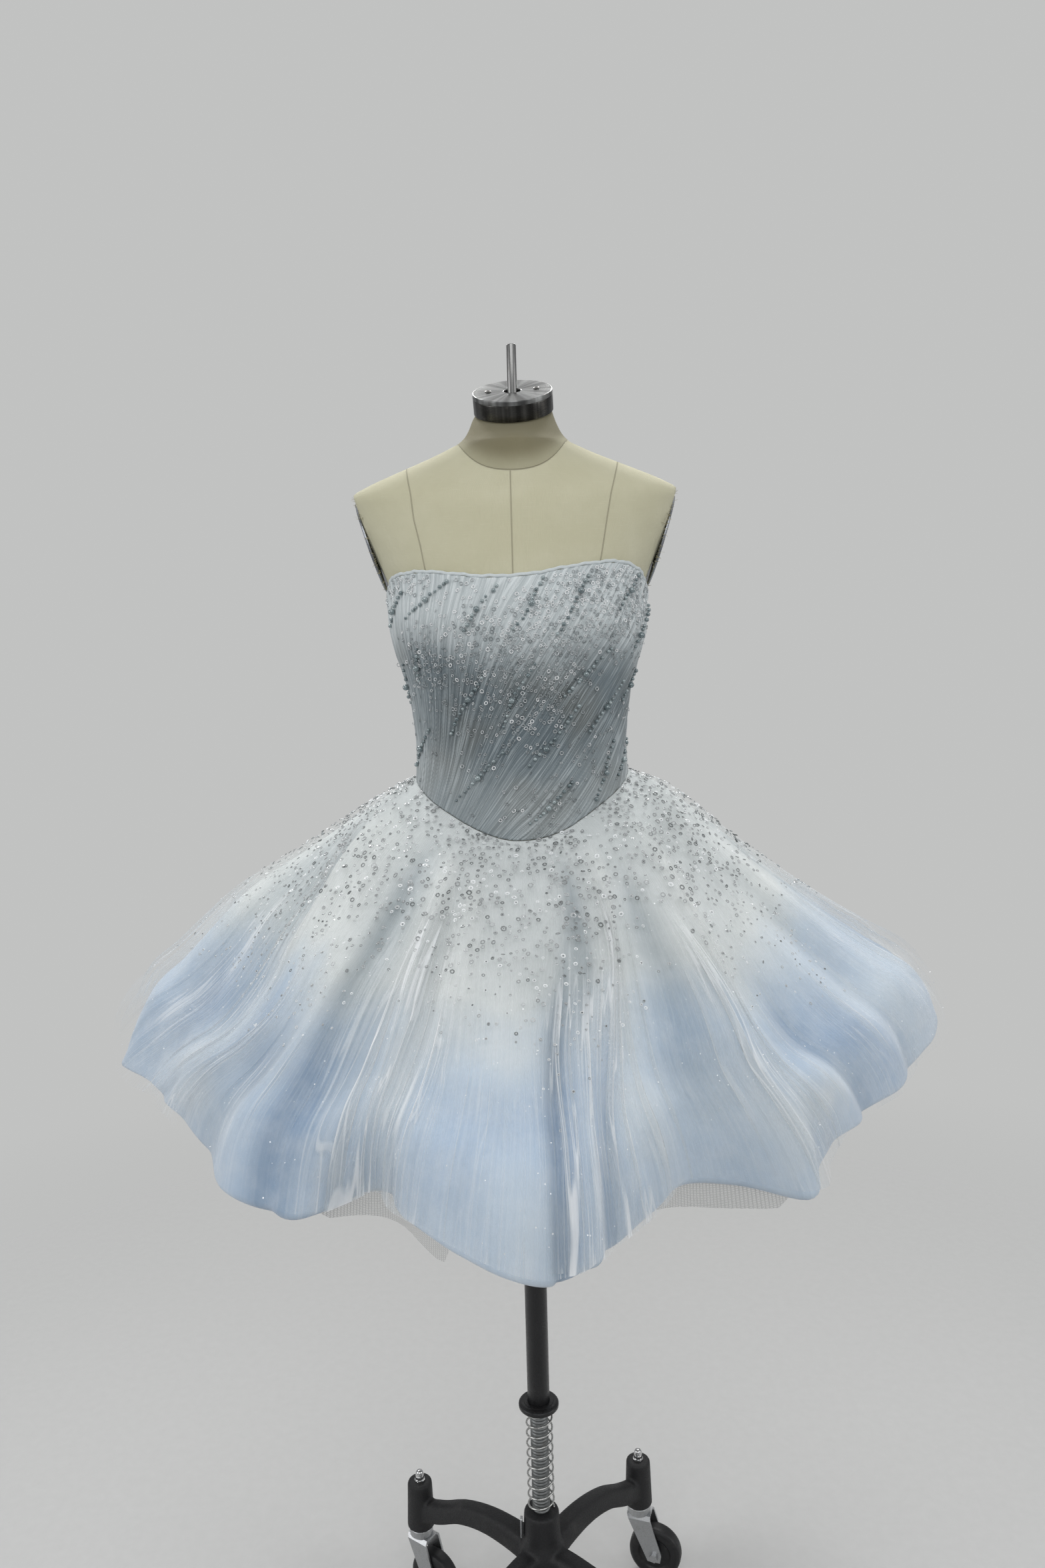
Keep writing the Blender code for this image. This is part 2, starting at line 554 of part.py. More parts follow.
# ---------------------------------------------------------------- the stand
def build_stand(socket_top):
    ring("pole", POLE_R, POLE_BORE, socket_top - GAP, COLLAR_TOP - COLLAR_T, "black_paint", 24)
    turned("pole_collar", [(POLE_R + GAP, COLLAR_TOP), (0.022, COLLAR_TOP), (COLLAR_R, COLLAR_TOP - 0.003),
                           (COLLAR_R, COLLAR_TOP - COLLAR_T), (POLE_R + GAP, COLLAR_TOP - COLLAR_T)],
           "black_paint", 28)
    disc("inner_post", POST_R, POST_TOP, HUB_TOP + GAP, "steel", 14)

    # the spring stands on the hub and the collar rests on it
    low = HUB_TOP + GAP + SPRING_WIRE
    high = COLLAR_TOP - COLLAR_T - GAP - SPRING_WIRE
    per_turn = 9
    curve = bpy.data.curves.new("spring", "CURVE")
    curve.dimensions = "3D"
    curve.bevel_depth = SPRING_WIRE
    curve.bevel_resolution = 1
    curve.use_fill_caps = True
    line = curve.splines.new("POLY")
    total = int(per_turn * SPRING_TURNS) + 1
    line.points.add(total - 1)
    for i in range(total):
        a = 2 * math.pi * i / per_turn
        line.points[i].co = (SPRING_R * math.cos(a), SPRING_R * math.sin(a),
                             low + (high - low) * i / (total - 1), 1.0)
    spring = bpy.data.objects.new("spring", curve)
    curve.materials.append(material("spring_steel", *LOOKS["steel"]))
    PARTS.objects.link(spring)

    # one casting: hub, four arms that bow up, and the bosses at their ends
    casting = turned("base_casting", [(0, HUB_TOP), (0.0210, HUB_TOP), (0.0225, HUB_TOP - 0.002),
                                      (0.0240, 0.205), (0.0285, 0.190), (0.0300, 0.160),
                                      (0.0280, HUB_BOTTOM), (0, HUB_BOTTOM)],
                     "black_paint", 24, closed=False)
    others = []
    # distance from the axis, middle height, width, height of the arm
    arm = ((0.010, 0.176, 0.034, 0.036), (0.050, 0.180, 0.030, 0.034), (0.095, 0.178, 0.027, 0.031),
           (0.140, 0.166, 0.025, 0.030), (0.180, 0.145, 0.024, 0.031), (0.223, 0.128, 0.024, 0.030))
    for name, angle, trail in CASTORS:
        way = Vector((math.cos(math.radians(angle)), math.sin(math.radians(angle)), 0))
        across = Vector((-way.y, way.x, 0))
        rings = []
        for r, z, wide, tall in arm:
            middle = way * r + Vector((0, 0, z))
            corners = ((0.5, 0.30), (0.28, 0.5), (-0.28, 0.5), (-0.5, 0.30),
                       (-0.5, -0.30), (-0.28, -0.5), (0.28, -0.5), (0.5, -0.30))
            rings.append([middle + across * (u * wide) + Vector((0, 0, v * tall)) for u, v in corners])
        beam = closed_loft("arm_" + name, rings, "black_paint")
        spot = way * ARM_REACH
        boss = turned("boss_" + name, [(0, BOSS_TOP), (0.0155, BOSS_TOP), (0.0172, BOSS_TOP - 0.002),
                                       (0.0195, BOSS_BOTTOM), (0, BOSS_BOTTOM)],
                      "black_paint", 20, at=spot, closed=False)
        others += [beam, boss]
    join_by_union(casting, others)

    # catch lever on the hub's left flank
    lever = bmesh.new()
    bmesh.ops.create_cube(lever, size=1.0)
    bmesh.ops.scale(lever, vec=(0.0028, 0.0080, 0.0260), verts=lever.verts)
    bmesh.ops.translate(lever, vec=(0, 0, 0.0130), verts=lever.verts)
    mesh = bpy.data.meshes.new("catch_lever")
    lever.to_mesh(mesh)
    lever.free()
    catch = add("catch_lever", mesh, "zinc", smooth=False)
    catch.location = (-0.0262, -0.004, 0.2070)
    edge = catch.modifiers.new("edge", "BEVEL")
    edge.width = 0.0008
    edge.segments = 1


def build_castors():
    steps = 20
    tread = WHEEL_R / math.cos(math.pi / steps)
    for name, angle, trail in CASTORS:
        a, t = math.radians(angle), math.radians(trail)
        spot = Vector((ARM_REACH * math.cos(a), ARM_REACH * math.sin(a), 0))
        face = Matrix.Rotation(t, 4, "Z")
        # acorn nut on the boss
        turned("acorn_nut_" + name, [(0, 0.0155), (0.0030, 0.0150), (0.0052, 0.0125), (0.0056, 0.0080),
                                     (0.0074, 0.0065), (0.0074, 0.0), (0, 0.0)], "steel", 12,
               at=spot + Vector((0, 0, BOSS_TOP + GAP)), closed=False)
        # fork: bent strip over the wheel, swivel plate and the two axle heads
        half = WHEEL_W / 2 + 0.0030
        # along the strip: how far out (1 is the outer side), height, start and end of its width
        bend = 0.0045
        strip = ((-half, 0.0, 0.0290, 0.0150, 0.0330), (-half, 0.0, 0.0410, 0.0095, 0.0350),
                 (-half, 0.0, 0.0945 - bend, -0.0130, 0.0195), (-half + bend, 1.0, 0.0945, -0.0155, 0.0185),
                 (half - bend, 1.0, 0.0945, -0.0155, 0.0185), (half, 0.0, 0.0945 - bend, -0.0130, 0.0195),
                 (half, 0.0, 0.0410, 0.0095, 0.0350), (half, 0.0, 0.0290, 0.0150, 0.0330))
        rings = []
        for y, level, z, start, end in strip:
            inner_y = y if level else math.copysign(abs(y) - 0.0026, y)
            inner_y = math.copysign(abs(inner_y) - (0.0011 if level else 0.0), inner_y)
            inner_z = z - 0.0026 if level else z - (0.0011 if z > 0.08 else 0.0)
            rings.append([Vector((start, y, z)), Vector((end, y, z)),
                          Vector((end, inner_y, inner_z)), Vector((start, inner_y, inner_z))])
        fork = closed_loft("fork_" + name, rings, "zinc")
        fork.matrix_world = Matrix.Translation(spot) @ face
        plate = disc("race_" + name, 0.0165, BOSS_BOTTOM - GAP, 0.0935, "zinc", 20,
                     at=spot, turn=face, edge=0.0015)
        heads = []
        for side in (-1, 1):
            low, high = (half - 0.0010, half + 0.0045) if side > 0 else (-half - 0.0045, -half + 0.0010)
            heads.append(disc("head_%s_%d" % (name, side > 0), 0.0062, high, low, "zinc", 6,
                              at=spot, turn=face @ Matrix.Translation((TRAIL, 0, WHEEL_R))
                              @ Matrix.Rotation(math.radians(-90), 4, "X")
                              @ Matrix.Rotation(math.radians(11), 4, "Z")))
        join_by_union(fork, [plate] + heads)
        hub = spot + face.to_3x3() @ Vector((TRAIL, 0, WHEEL_R))
        spin = face @ Matrix.Rotation(math.radians(-90), 4, "X")
        inside = half - 0.0026 - GAP
        disc("axle_" + name, 0.0040, inside, -inside, "steel", 12, at=hub, turn=spin)
        w = WHEEL_W / 2
        bore = 0.0040 + GAP * 1.5
        turned("wheel_" + name, [(bore, w - 0.001), (0.022, w - 0.0035), (tread - 0.005, w - 0.001),
                                 (tread, w - 0.006), (tread, -w + 0.006), (tread - 0.005, -w + 0.001),
                                 (0.022, -w + 0.0035), (bore, -w + 0.001)],
               "rubber", steps, at=hub,
               turn=spin @ Matrix.Rotation(math.pi / steps, 4, "Z"))


clear_scene()
PARTS = collection("ball_gown_on_dress_form")
CUTTERS = collection("cutters")
REACH = reach()
build_bodice()
build_zip()
build_skirt()
build_stand(build_form())
build_castors()
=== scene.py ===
"""Looks of the strapless ball gown and its dress form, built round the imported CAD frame.

Metres, +Z up, the gown's front faces -Y.  Angles round the body are in degrees
from the front, towards +X.  A skirt point is (fold line U, share s of the way
down); the fold lines sweep sideways as the real ones do.
"""
import math

import bmesh
import bpy
import numpy as np
from mathutils import Matrix, Vector


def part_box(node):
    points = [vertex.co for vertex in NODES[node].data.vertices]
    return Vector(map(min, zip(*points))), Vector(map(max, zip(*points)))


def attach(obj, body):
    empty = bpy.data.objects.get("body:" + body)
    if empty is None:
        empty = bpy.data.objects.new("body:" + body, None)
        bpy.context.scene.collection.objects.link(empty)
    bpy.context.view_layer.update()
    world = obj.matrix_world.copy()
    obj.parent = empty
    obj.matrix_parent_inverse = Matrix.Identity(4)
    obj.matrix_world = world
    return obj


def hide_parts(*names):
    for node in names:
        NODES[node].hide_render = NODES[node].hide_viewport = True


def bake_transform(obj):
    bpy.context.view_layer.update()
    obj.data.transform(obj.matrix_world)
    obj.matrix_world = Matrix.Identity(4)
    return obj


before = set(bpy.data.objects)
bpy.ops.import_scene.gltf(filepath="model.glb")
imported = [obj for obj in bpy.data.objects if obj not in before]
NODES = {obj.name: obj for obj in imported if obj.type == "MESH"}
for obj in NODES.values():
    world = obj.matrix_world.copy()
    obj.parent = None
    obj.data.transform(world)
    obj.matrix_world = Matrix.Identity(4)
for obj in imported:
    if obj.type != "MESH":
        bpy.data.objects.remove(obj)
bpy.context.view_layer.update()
RNG = np.random.default_rng(4646)

# ------------------------------------------------------------------ sizes, as in the part
GAP, EASE, BODICE_WALL = 0.0003, 0.0011, 0.0016
SKIRT_REACH_X, SKIRT_REACH_Y, WAIST_DROP, HEM_MEAN = 0.518, 0.487, 0.0020, 0.452
ROD_R, ROD_TOP = 0.0056, 1.687
CAP_R, CAP_BAND, CAP_TOP = 0.0465, 0.0235, 1.6360
CAP_TURN = Matrix.Rotation(math.radians(-3), 4, "Y") @ Matrix.Rotation(math.radians(28.5), 4, "X")
CAP_HOLE_R, CAP_PLATE, CAP_WALL, NECK_DROP = 0.0099, 0.003, 0.0015, 0.012
FORM_BOTTOM, BOARD = 0.885, 0.016
POLE_R, POLE_BORE, POST_R = 0.014, 0.0118, 0.0115
COLLAR_R, COLLAR_TOP, COLLAR_T = 0.0255, 0.391, 0.008
HUB_TOP, HUB_BOTTOM = 0.241, 0.125
SPRING_R, SPRING_WIRE, SPRING_TURNS = 0.0163, 0.00125, 10.0
POST_TOP, ARM_REACH = 0.800, 0.223
BOSS_TOP, BOSS_BOTTOM = 0.173, 0.106
WHEEL_R, WHEEL_W, TRAIL = 0.0375, 0.024, 0.024
CASTORS = (("back_right", 50.5, -18.0), ("back_left", 140.5, -35.0),
           ("front_left", 230.5, -60.0), ("front_right", 320.5, 10.0))

FORM_SECTIONS = (
    (0.8850, 0.1580, 0.105, 0.125), (0.9500, 0.1655, 0.108, 0.130), (1.0200, 0.1630, 0.110, 0.128),
    (1.0800, 0.1500, 0.111, 0.112), (1.1270, 0.1370, 0.109, 0.100), (1.1600, 0.1275, 0.104, 0.090),
    (1.1900, 0.1220, 0.100, 0.084), (1.2250, 0.1200, 0.097, 0.081), (1.2560, 0.1220, 0.099, 0.083),
    (1.2880, 0.1265, 0.103, 0.086), (1.3200, 0.1350, 0.110, 0.091), (1.3430, 0.1420, 0.115, 0.096),
    (1.3660, 0.1465, 0.116, 0.100), (1.3900, 0.1480, 0.112, 0.103), (1.4150, 0.1500, 0.104, 0.106),
    (1.4400, 0.1610, 0.096, 0.108), (1.4700, 0.1760, 0.085, 0.106), (1.5000, 0.1900, 0.074, 0.099),
    (1.5150, 0.1950, 0.067, 0.092), (1.5290, 0.1720, 0.062, 0.084), (1.5440, 0.1360, 0.057, 0.072),
    (1.5590, 0.0980, 0.053, 0.061), (1.5720, 0.0690, 0.0505, 0.0535),
)
NECK_SECTIONS = ((0.0030, 1.5835, 0.0580, 0.0490, 7.0, 0.7), (0.0060, 1.5945, 0.0520, 0.0475, 15.0, 1.5),
                 (0.0088, 1.6055, 0.0478, 0.0460, 22.5, 2.3))
TOP_EDGE = (
    (-180, 1.3890), (-145, 1.3905), (-115, 1.3945), (-90, 1.3985), (-76, 1.4075), (-64, 1.4190),
    (-54, 1.4218), (-40, 1.4228), (-25, 1.4185), (-12, 1.4143), (0, 1.4143), (7, 1.4166),
    (17, 1.4218), (28, 1.4262), (38, 1.4288), (48, 1.4275), (58, 1.4222), (64, 1.4180),
    (75, 1.4065), (90, 1.3985), (115, 1.3945), (145, 1.3905), (180, 1.3890),
)
WAIST_SEAM = (
    (-180, 1.1970), (-150, 1.1970), (-120, 1.1965), (-90, 1.1930), (-75, 1.1870), (-62, 1.1785),
    (-53, 1.1715), (-36, 1.1572), (-24, 1.1451), (-13, 1.1346), (-4, 1.1290), (5, 1.1300),
    (16, 1.1378), (27, 1.1500), (41, 1.1645), (57, 1.1775), (75, 1.1895), (90, 1.1950),
    (120, 1.1965), (150, 1.1970), (180, 1.1970),
)
BELL = ((0.00, 0.000, 0.000), (0.10, 0.014, 0.017), (0.20, 0.024, 0.021), (0.35, 0.032, 0.022),
        (0.50, 0.042, 0.025), (0.62, 0.039, 0.027), (0.75, 0.034, 0.032), (0.84, 0.034, 0.036),
        (0.92, 0.022, 0.025), (1.00, 0.000, 0.000))
HEM_LOBES = (
    (-172, 0.480, 0.848), (-155, 0.425, 0.872), (-138, 0.490, 0.850), (-120, 0.435, 0.880),
    (-107, 0.500, 0.868), (-91, 0.525, 0.853), (-82, 0.462, 0.846), (-72, 0.430, 0.842),
    (-57, 0.424, 0.840), (-46, 0.434, 0.838), (-36, 0.448, 0.838), (-29, 0.436, 0.838),
    (-23.5, 0.382, 0.846), (-17, 0.408, 0.842), (-9, 0.450, 0.838), (1.5, 0.492, 0.836),
    (9, 0.452, 0.838), (15, 0.408, 0.842), (21, 0.380, 0.846), (27, 0.392, 0.842),
    (34, 0.440, 0.838), (42, 0.420, 0.842), (50, 0.403, 0.845), (60, 0.408, 0.845),
    (70, 0.428, 0.850), (82, 0.466, 0.862), (94, 0.512, 0.880), (107, 0.455, 0.870),
    (121, 0.425, 0.880), (138, 0.490, 0.855), (155, 0.418, 0.875), (170, 0.476, 0.850),
)


# ------------------------------------------------------------------ the part's curves, on arrays
def curve(table, column=1, period=None):
    rows = [tuple(float(x) for x in r) for r in table]
    if period:
        rows = ([(r[0] - period, *r[1:]) for r in rows[-2:]] + rows
                + [(r[0] + period, *r[1:]) for r in rows[:2]])
    xs, ys = np.array([r[0] for r in rows]), np.array([r[column] for r in rows])
    slope = np.empty_like(ys)
    slope[1:-1] = (ys[2:] - ys[:-2]) / (xs[2:] - xs[:-2])
    slope[0], slope[-1] = (ys[1] - ys[0]) / (xs[1] - xs[0]), (ys[-1] - ys[-2]) / (xs[-1] - xs[-2])

    def read(x):
        x = np.asarray(x, float)
        if period:
            x = (x + 180.0) % 360.0 - 180.0
        x = np.clip(x, xs[0], xs[-1])
        i = np.clip(np.searchsorted(xs, x, "right") - 1, 0, len(xs) - 2)
        span = xs[i + 1] - xs[i]
        t = (x - xs[i]) / span
        return ((2 * t**3 - 3 * t**2 + 1) * ys[i] + (t**3 - 2 * t**2 + t) * span * slope[i]
                + (-2 * t**3 + 3 * t**2) * ys[i + 1] + (t**3 - t**2) * span * slope[i + 1])
    return read


HALF, DEEP_FRONT, DEEP_BACK = curve(FORM_SECTIONS, 1), curve(FORM_SECTIONS, 2), curve(FORM_SECTIONS, 3)
TOP_CURVE, WAIST_CURVE = curve(TOP_EDGE), curve(WAIST_SEAM)
BELL_LEFT, BELL_RIGHT = curve(BELL, 1), curve(BELL, 2)
HEM_R, HEM_Z = curve(HEM_LOBES, 1, 360.0), curve(HEM_LOBES, 2, 360.0)


def smooth(a, b, x):
    t = np.clip((np.asarray(x, float) - a) / (b - a), 0.0, 1.0)
    return t * t * (3 - 2 * t)


def signed(angle):
    return (np.asarray(angle, float) + 180.0) % 360.0 - 180.0


def form_point(angle, z, out=0.0):
    a = np.radians(angle)
    s, c = np.sin(a), np.cos(a)
    half = HALF(z) + out
    deep = np.where(c > 0, DEEP_FRONT(z), DEEP_BACK(z)) + out
    x = np.sign(s) * np.abs(s) ** 0.90 * half
    y = -np.sign(c) * np.abs(c) ** 0.90 * deep
    return np.stack(np.broadcast_arrays(x, y, np.asarray(z, float)), -1)


def top_edge(angle):
    return TOP_CURVE(signed(angle))


def waist_seam(angle):
    return WAIST_CURVE(signed(angle))


def _reach():
    angle = np.arange(720) * 0.5 - 180.0
    a, r = np.radians(angle), HEM_R(angle)
    x, y = r * np.sin(a), -r * np.cos(a)
    return (SKIRT_REACH_X / -x.min(), SKIRT_REACH_X / x.max(),
            SKIRT_REACH_Y / -y.min(), SKIRT_REACH_Y / y.max())


REACH = _reach()


def outer_point(angle, s):
    """A point of the outer skirt: s runs from 0 at the waist to 1 at the hem."""
    angle, s = np.broadcast_arrays(np.asarray(angle, float), np.asarray(s, float))
    a = np.radians(angle)
    top = form_point(angle, waist_seam(angle) - WAIST_DROP, EASE + 0.0025)
    radial = np.stack([np.sin(a), -np.cos(a), np.zeros_like(a)], -1)
    scale = np.stack([np.where(radial[..., 0] < 0, REACH[0], REACH[1]),
                      np.where(radial[..., 1] < 0, REACH[2], REACH[3]), np.ones_like(a)], -1)
    low = radial * HEM_R(angle)[..., None] * scale
    mean_low = radial * HEM_MEAN * scale
    right = 0.5 + 0.5 * np.sin(a)
    bell = BELL_LEFT(s) * (1 - right) + BELL_RIGHT(s) * right
    bell = np.where(s > 1.0, -0.26 * (s - 1.0), bell)
    t = s[..., None]
    flat = top * (1 - t) + mean_low * t + (low - mean_low) * t ** 1.35 + radial * (bell * 0.72)[..., None]
    z = top[..., 2] + (HEM_Z(angle) - top[..., 2]) * s + bell * 0.66
    flat[..., 2] = z
    return flat


def outer_normal(angle, s):
    along = outer_point(angle + 1.5, s) - outer_point(angle - 1.5, s)
    down = outer_point(angle, s + 0.02) - outer_point(angle, np.maximum(0.0, s - 0.02))
    n = np.cross(down, along)
    return n / np.linalg.norm(n, axis=-1, keepdims=True)


# the sweep of the fold lines: U, then the angle at s = 0, .2, .4, .6, .8, 1
SWEEP_S = np.array([0.0, 0.2, 0.4, 0.6, 0.8, 1.0])
SWEEP = (
    (-180, -180, -180, -180, -180, -180, -180), (-165, -165, -164, -163, -164, -167, -170),
    (-150, -150, -151, -151, -149, -147, -146), (-132, -132, -131, -130, -131, -134, -138),
    (-116, -116, -116, -116, -115, -113, -112), (-100, -100, -100, -99, -99, -100, -101),
    (-84, -88, -87, -83, -80, -84, -91), (-66, -78, -73, -60, -54, -60, -79), (-50, -58, -54, -48, -45, -54, -68),
    (-38, -42, -40, -38, -38, -42, -46), (-30, -31, -31, -32, -33, -34, -35), (-24, -24, -22, -23, -24, -25, -26),
    (-17, -16, -16, -16, -16, -18, -20), (-8, -8, -8, -7, -6, -6, -7), (5, 9, 10, 8, 5, 4.5, 4.5),
    (14, 17, 18, 17, 12, 9, 9), (22, 25, 24, 20, 17, 16, 19), (33, 34, 34, 33.5, 33, 32, 35),
    (45, 46, 45, 42, 39, 41, 51), (62, 63, 62, 61, 60, 62, 69), (84, 84, 84, 84, 85, 86, 88),
    (100, 100, 100, 101, 101, 100, 99), (118, 118, 119, 120, 120, 118, 115), (134, 134, 134, 133, 132, 134, 137),
    (150, 150, 149, 149, 151, 153, 154), (166, 166, 166, 167, 168, 168, 167), (180, 180, 180, 180, 180, 180, 180),
)
SWEEP_READ = [curve(SWEEP, k + 1) for k in range(6)]


def flow_angle(u, s):
    """The angle round the body of fold line u at s."""
    u, s = np.broadcast_arrays(np.asarray(u, float), np.asarray(s, float))
    turns = np.round((u - signed(u)) / 360.0) * 360.0
    base = signed(u)
    at = np.stack([read(base) for read in SWEEP_READ])
    x = np.clip(s, 0, 1.0) * 5.0
    i = np.clip(np.floor(x).astype(int), 0, 4)
    t = x - i
    a = np.take_along_axis(at, i[None], 0)[0]
    b = np.take_along_axis(at, (i + 1)[None], 0)[0]
    before = np.take_along_axis(at, np.maximum(i - 1, 0)[None], 0)[0]
    after = np.take_along_axis(at, np.minimum(i + 2, 5)[None], 0)[0]
    ma = np.where(i > 0, (b - before) / 2, b - a)
    mb = np.where(i < 4, (after - a) / 2, b - a)
    got = ((2 * t**3 - 3 * t**2 + 1) * a + (t**3 - 2 * t**2 + t) * ma
           + (-2 * t**3 + 3 * t**2) * b + (t**3 - t**2) * mb)
    return got + turns


def skirt_at(u, s, lift):
    """A point over the outer skirt, moved out along its normal by lift."""
    angle = flow_angle(u, s)
    n = outer_normal(angle, s)
    grow = smooth(0.0, 0.14, s)
    lift = np.asarray(lift, float)
    lift = np.where(lift < 0, lift * grow, lift * (0.15 + 0.85 * grow))
    return outer_point(angle, s) + n * lift[..., None], n


# ------------------------------------------------------------------ mesh helpers
def mesh_object(name, verts, faces, attributes=None, smooth_shade=True, material=None):
    """faces: an (n, 3) or (n, 4) array, or a list of such arrays."""
    groups = faces if isinstance(faces, list) else [faces]
    groups = [np.asarray(g, np.int32) for g in groups if len(g)]
    mesh = bpy.data.meshes.new(name)
    verts = np.asarray(verts, np.float32).reshape(-1, 3)
    mesh.vertices.add(len(verts))
    mesh.vertices.foreach_set("co", verts.ravel())
    loops = np.concatenate([g.ravel() for g in groups])
    sizes = np.concatenate([np.full(len(g), g.shape[1], np.int32) for g in groups])
    starts = np.concatenate([[0], np.cumsum(sizes)[:-1]]).astype(np.int32)
    mesh.loops.add(len(loops))
    mesh.loops.foreach_set("vertex_index", loops.astype(np.int32))
    mesh.polygons.add(len(sizes))
    mesh.polygons.foreach_set("loop_start", starts)
    mesh.polygons.foreach_set("use_smooth", np.full(len(sizes), smooth_shade))
    mesh.update(calc_edges=True)
    mesh.validate()
    for key, values in (attributes or {}).items():
        values = np.asarray(values, np.float32)
        if values.ndim == 1:
            mesh.attributes.new(key, "FLOAT", "POINT").data.foreach_set("value", values)
        else:
            mesh.attributes.new(key, "FLOAT_VECTOR", "POINT").data.foreach_set("vector", values.ravel())
    made = bpy.data.objects.new(name, mesh)
    bpy.context.scene.collection.objects.link(made)
    if material:
        mesh.materials.append(material)
    return made


def grid_faces(rows, columns, closed=False, flip=False):
    """Quads of a grid of rows x columns points; closed joins the last column to the first."""
    r = np.arange(rows - 1)[:, None]
    c = np.arange(columns if closed else columns - 1)[None, :]
    nxt = (c + 1) % columns
    a, b = r * columns + c, r * columns + nxt
    d, e = (r + 1) * columns + c, (r + 1) * columns + nxt
    quads = np.stack([a, d, e, b], -1).reshape(-1, 4)
    return quads[:, ::-1] if flip else quads


def grid_object(name, points, attributes=None, closed=False, flip=False, material=None):
    rows, columns = points.shape[:2]
    flat = {k: (v.reshape(-1) if v.ndim == 2 else v.reshape(-1, 3)) for k, v in (attributes or {}).items()}
    return mesh_object(name, points.reshape(-1, 3), grid_faces(rows, columns, closed, flip), flat, True, material)


def sharpen(thing, degrees=35.0):
    thing.data.set_sharp_from_angle(angle=math.radians(degrees))
    return thing


def tidy(thing, distance=0.00002):
    made = bmesh.new()
    made.from_mesh(thing.data)
    bmesh.ops.remove_doubles(made, verts=made.verts, dist=distance)
    bmesh.ops.dissolve_degenerate(made, edges=made.edges, dist=distance / 4)
    bmesh.ops.recalc_face_normals(made, faces=made.faces)
    made.to_mesh(thing.data)
    made.free()
    return thing


def lathe(name, profile, material, steps=64, matrix=None, closed=False, angle=35.0):
    """A profile of (radius, height) turned round Z; closed joins its ends into a ring."""
    profile = np.array(list(profile) + ([profile[0]] if closed else []), float)
    a = np.linspace(0, 2 * math.pi, steps, endpoint=False)
    points = np.stack([profile[:, 0][:, None] * np.cos(a), profile[:, 0][:, None] * np.sin(a),
                       np.repeat(profile[:, 1][:, None], steps, 1)], -1)
    made = grid_object(name, points, closed=True, material=material)
    tidy(made)
    if matrix is not None:
        made.data.transform(matrix)
    for p in made.data.polygons:
        p.use_smooth = True
    return sharpen(made, angle)


def rounded(profile, radius, steps=3):
    """The profile's corners cut back by a small radius."""
    out = []
    n = len(profile)
    for i, p in enumerate(profile):
        p = np.array(p, float)
        if i == 0 or i == n - 1:
            out.append(tuple(p))
            continue
        a, b = np.array(profile[i - 1], float) - p, np.array(profile[i + 1], float) - p
        la, lb = np.linalg.norm(a), np.linalg.norm(b)
        if la < 1e-7 or lb < 1e-7:
            continue
        r = min(radius, la * 0.45, lb * 0.45)
        p0, p1 = p + a / la * r, p + b / lb * r
        for k in range(steps + 1):
            t = k / steps
            q = (1 - t) ** 2 * p0 + 2 * t * (1 - t) * p + t * t * p1
            out.append(tuple(q))
    return out


def scatter(name, shape, places, frames, sizes, attributes, material, smooth_shade=True):
    """Many copies of a small shape in one mesh. frames are rows of the local axes."""
    verts, faces = shape
    n = len(places)
    local = verts[None] * np.asarray(sizes, float).reshape(n, -1, 1 if np.ndim(sizes) == 1 else 3)
    if np.ndim(sizes) == 1:
        local = verts[None] * np.asarray(sizes, float)[:, None, None]
    points = np.einsum("nvk,nkj->nvj", local, frames) + places[:, None]
    groups = faces if isinstance(faces, list) else [faces]
    step = (np.arange(n) * len(verts))[:, None, None]
    all_faces = [(g[None] + step).reshape(-1, g.shape[1]) for g in groups]
    spread = {k: np.repeat(v, len(verts), axis=0) for k, v in attributes.items()}
    return mesh_object(name, points.reshape(-1, 3), all_faces, spread, smooth_shade, material)


def ball(rings=6, segments=8):
    """A unit ball."""
    verts, quads, tris = [(0, 0, 1.0)], [], []
    for i in range(1, rings):
        f = math.pi * i / rings
        for j in range(segments):
            a = 2 * math.pi * j / segments
            verts.append((math.sin(f) * math.cos(a), math.sin(f) * math.sin(a), math.cos(f)))
    verts.append((0, 0, -1.0))
    last = len(verts) - 1
    for j in range(segments):
        k = (j + 1) % segments
        tris.append((0, 1 + j, 1 + k))
        tris.append((last, last - segments + k, last - segments + j))
        for i in range(rings - 2):
            a = 1 + i * segments
            quads.append((a + j, a + segments + j, a + segments + k, a + k))
    return np.array(verts), [np.array(quads), np.array(tris)]


def washer(segments=9, inner=0.42, dish=0.22, thick=0.16):
    """A unit ring sequin: a dished ring with an outer rim, seen from both sides."""
    a = np.linspace(0, 2 * math.pi, segments, endpoint=False)
    rows = ((inner, 0.0), (0.80, dish), (1.0, dish * 0.55), (0.93, -thick * 0.2))
    verts = np.array([(r * math.cos(t), r * math.sin(t), h) for r, h in rows for t in a])
    return verts, grid_faces(len(rows), segments, closed=True, flip=True)


def axes_from(normal, twist, tilt=0.0):
    """Frames whose third axis is the normal, turned by twist and leant by tilt radians."""
    n = normal / np.linalg.norm(normal, axis=-1, keepdims=True)
    up = np.where(np.abs(n[:, 2:3]) > 0.95, np.array([[1.0, 0, 0]]), np.array([[0.0, 0, 1.0]]))
    x = np.cross(up, n)
    x /= np.linalg.norm(x, axis=-1, keepdims=True)
    y = np.cross(n, x)
    c, s = np.cos(twist)[:, None], np.sin(twist)[:, None]
    x, y = x * c + y * s, y * c - x * s
    if np.any(tilt):
        c, s = np.cos(tilt)[:, None], np.sin(tilt)[:, None]
        y, n = y * c + n * s, n * c - y * s
    return np.stack([x, y, n], 1)


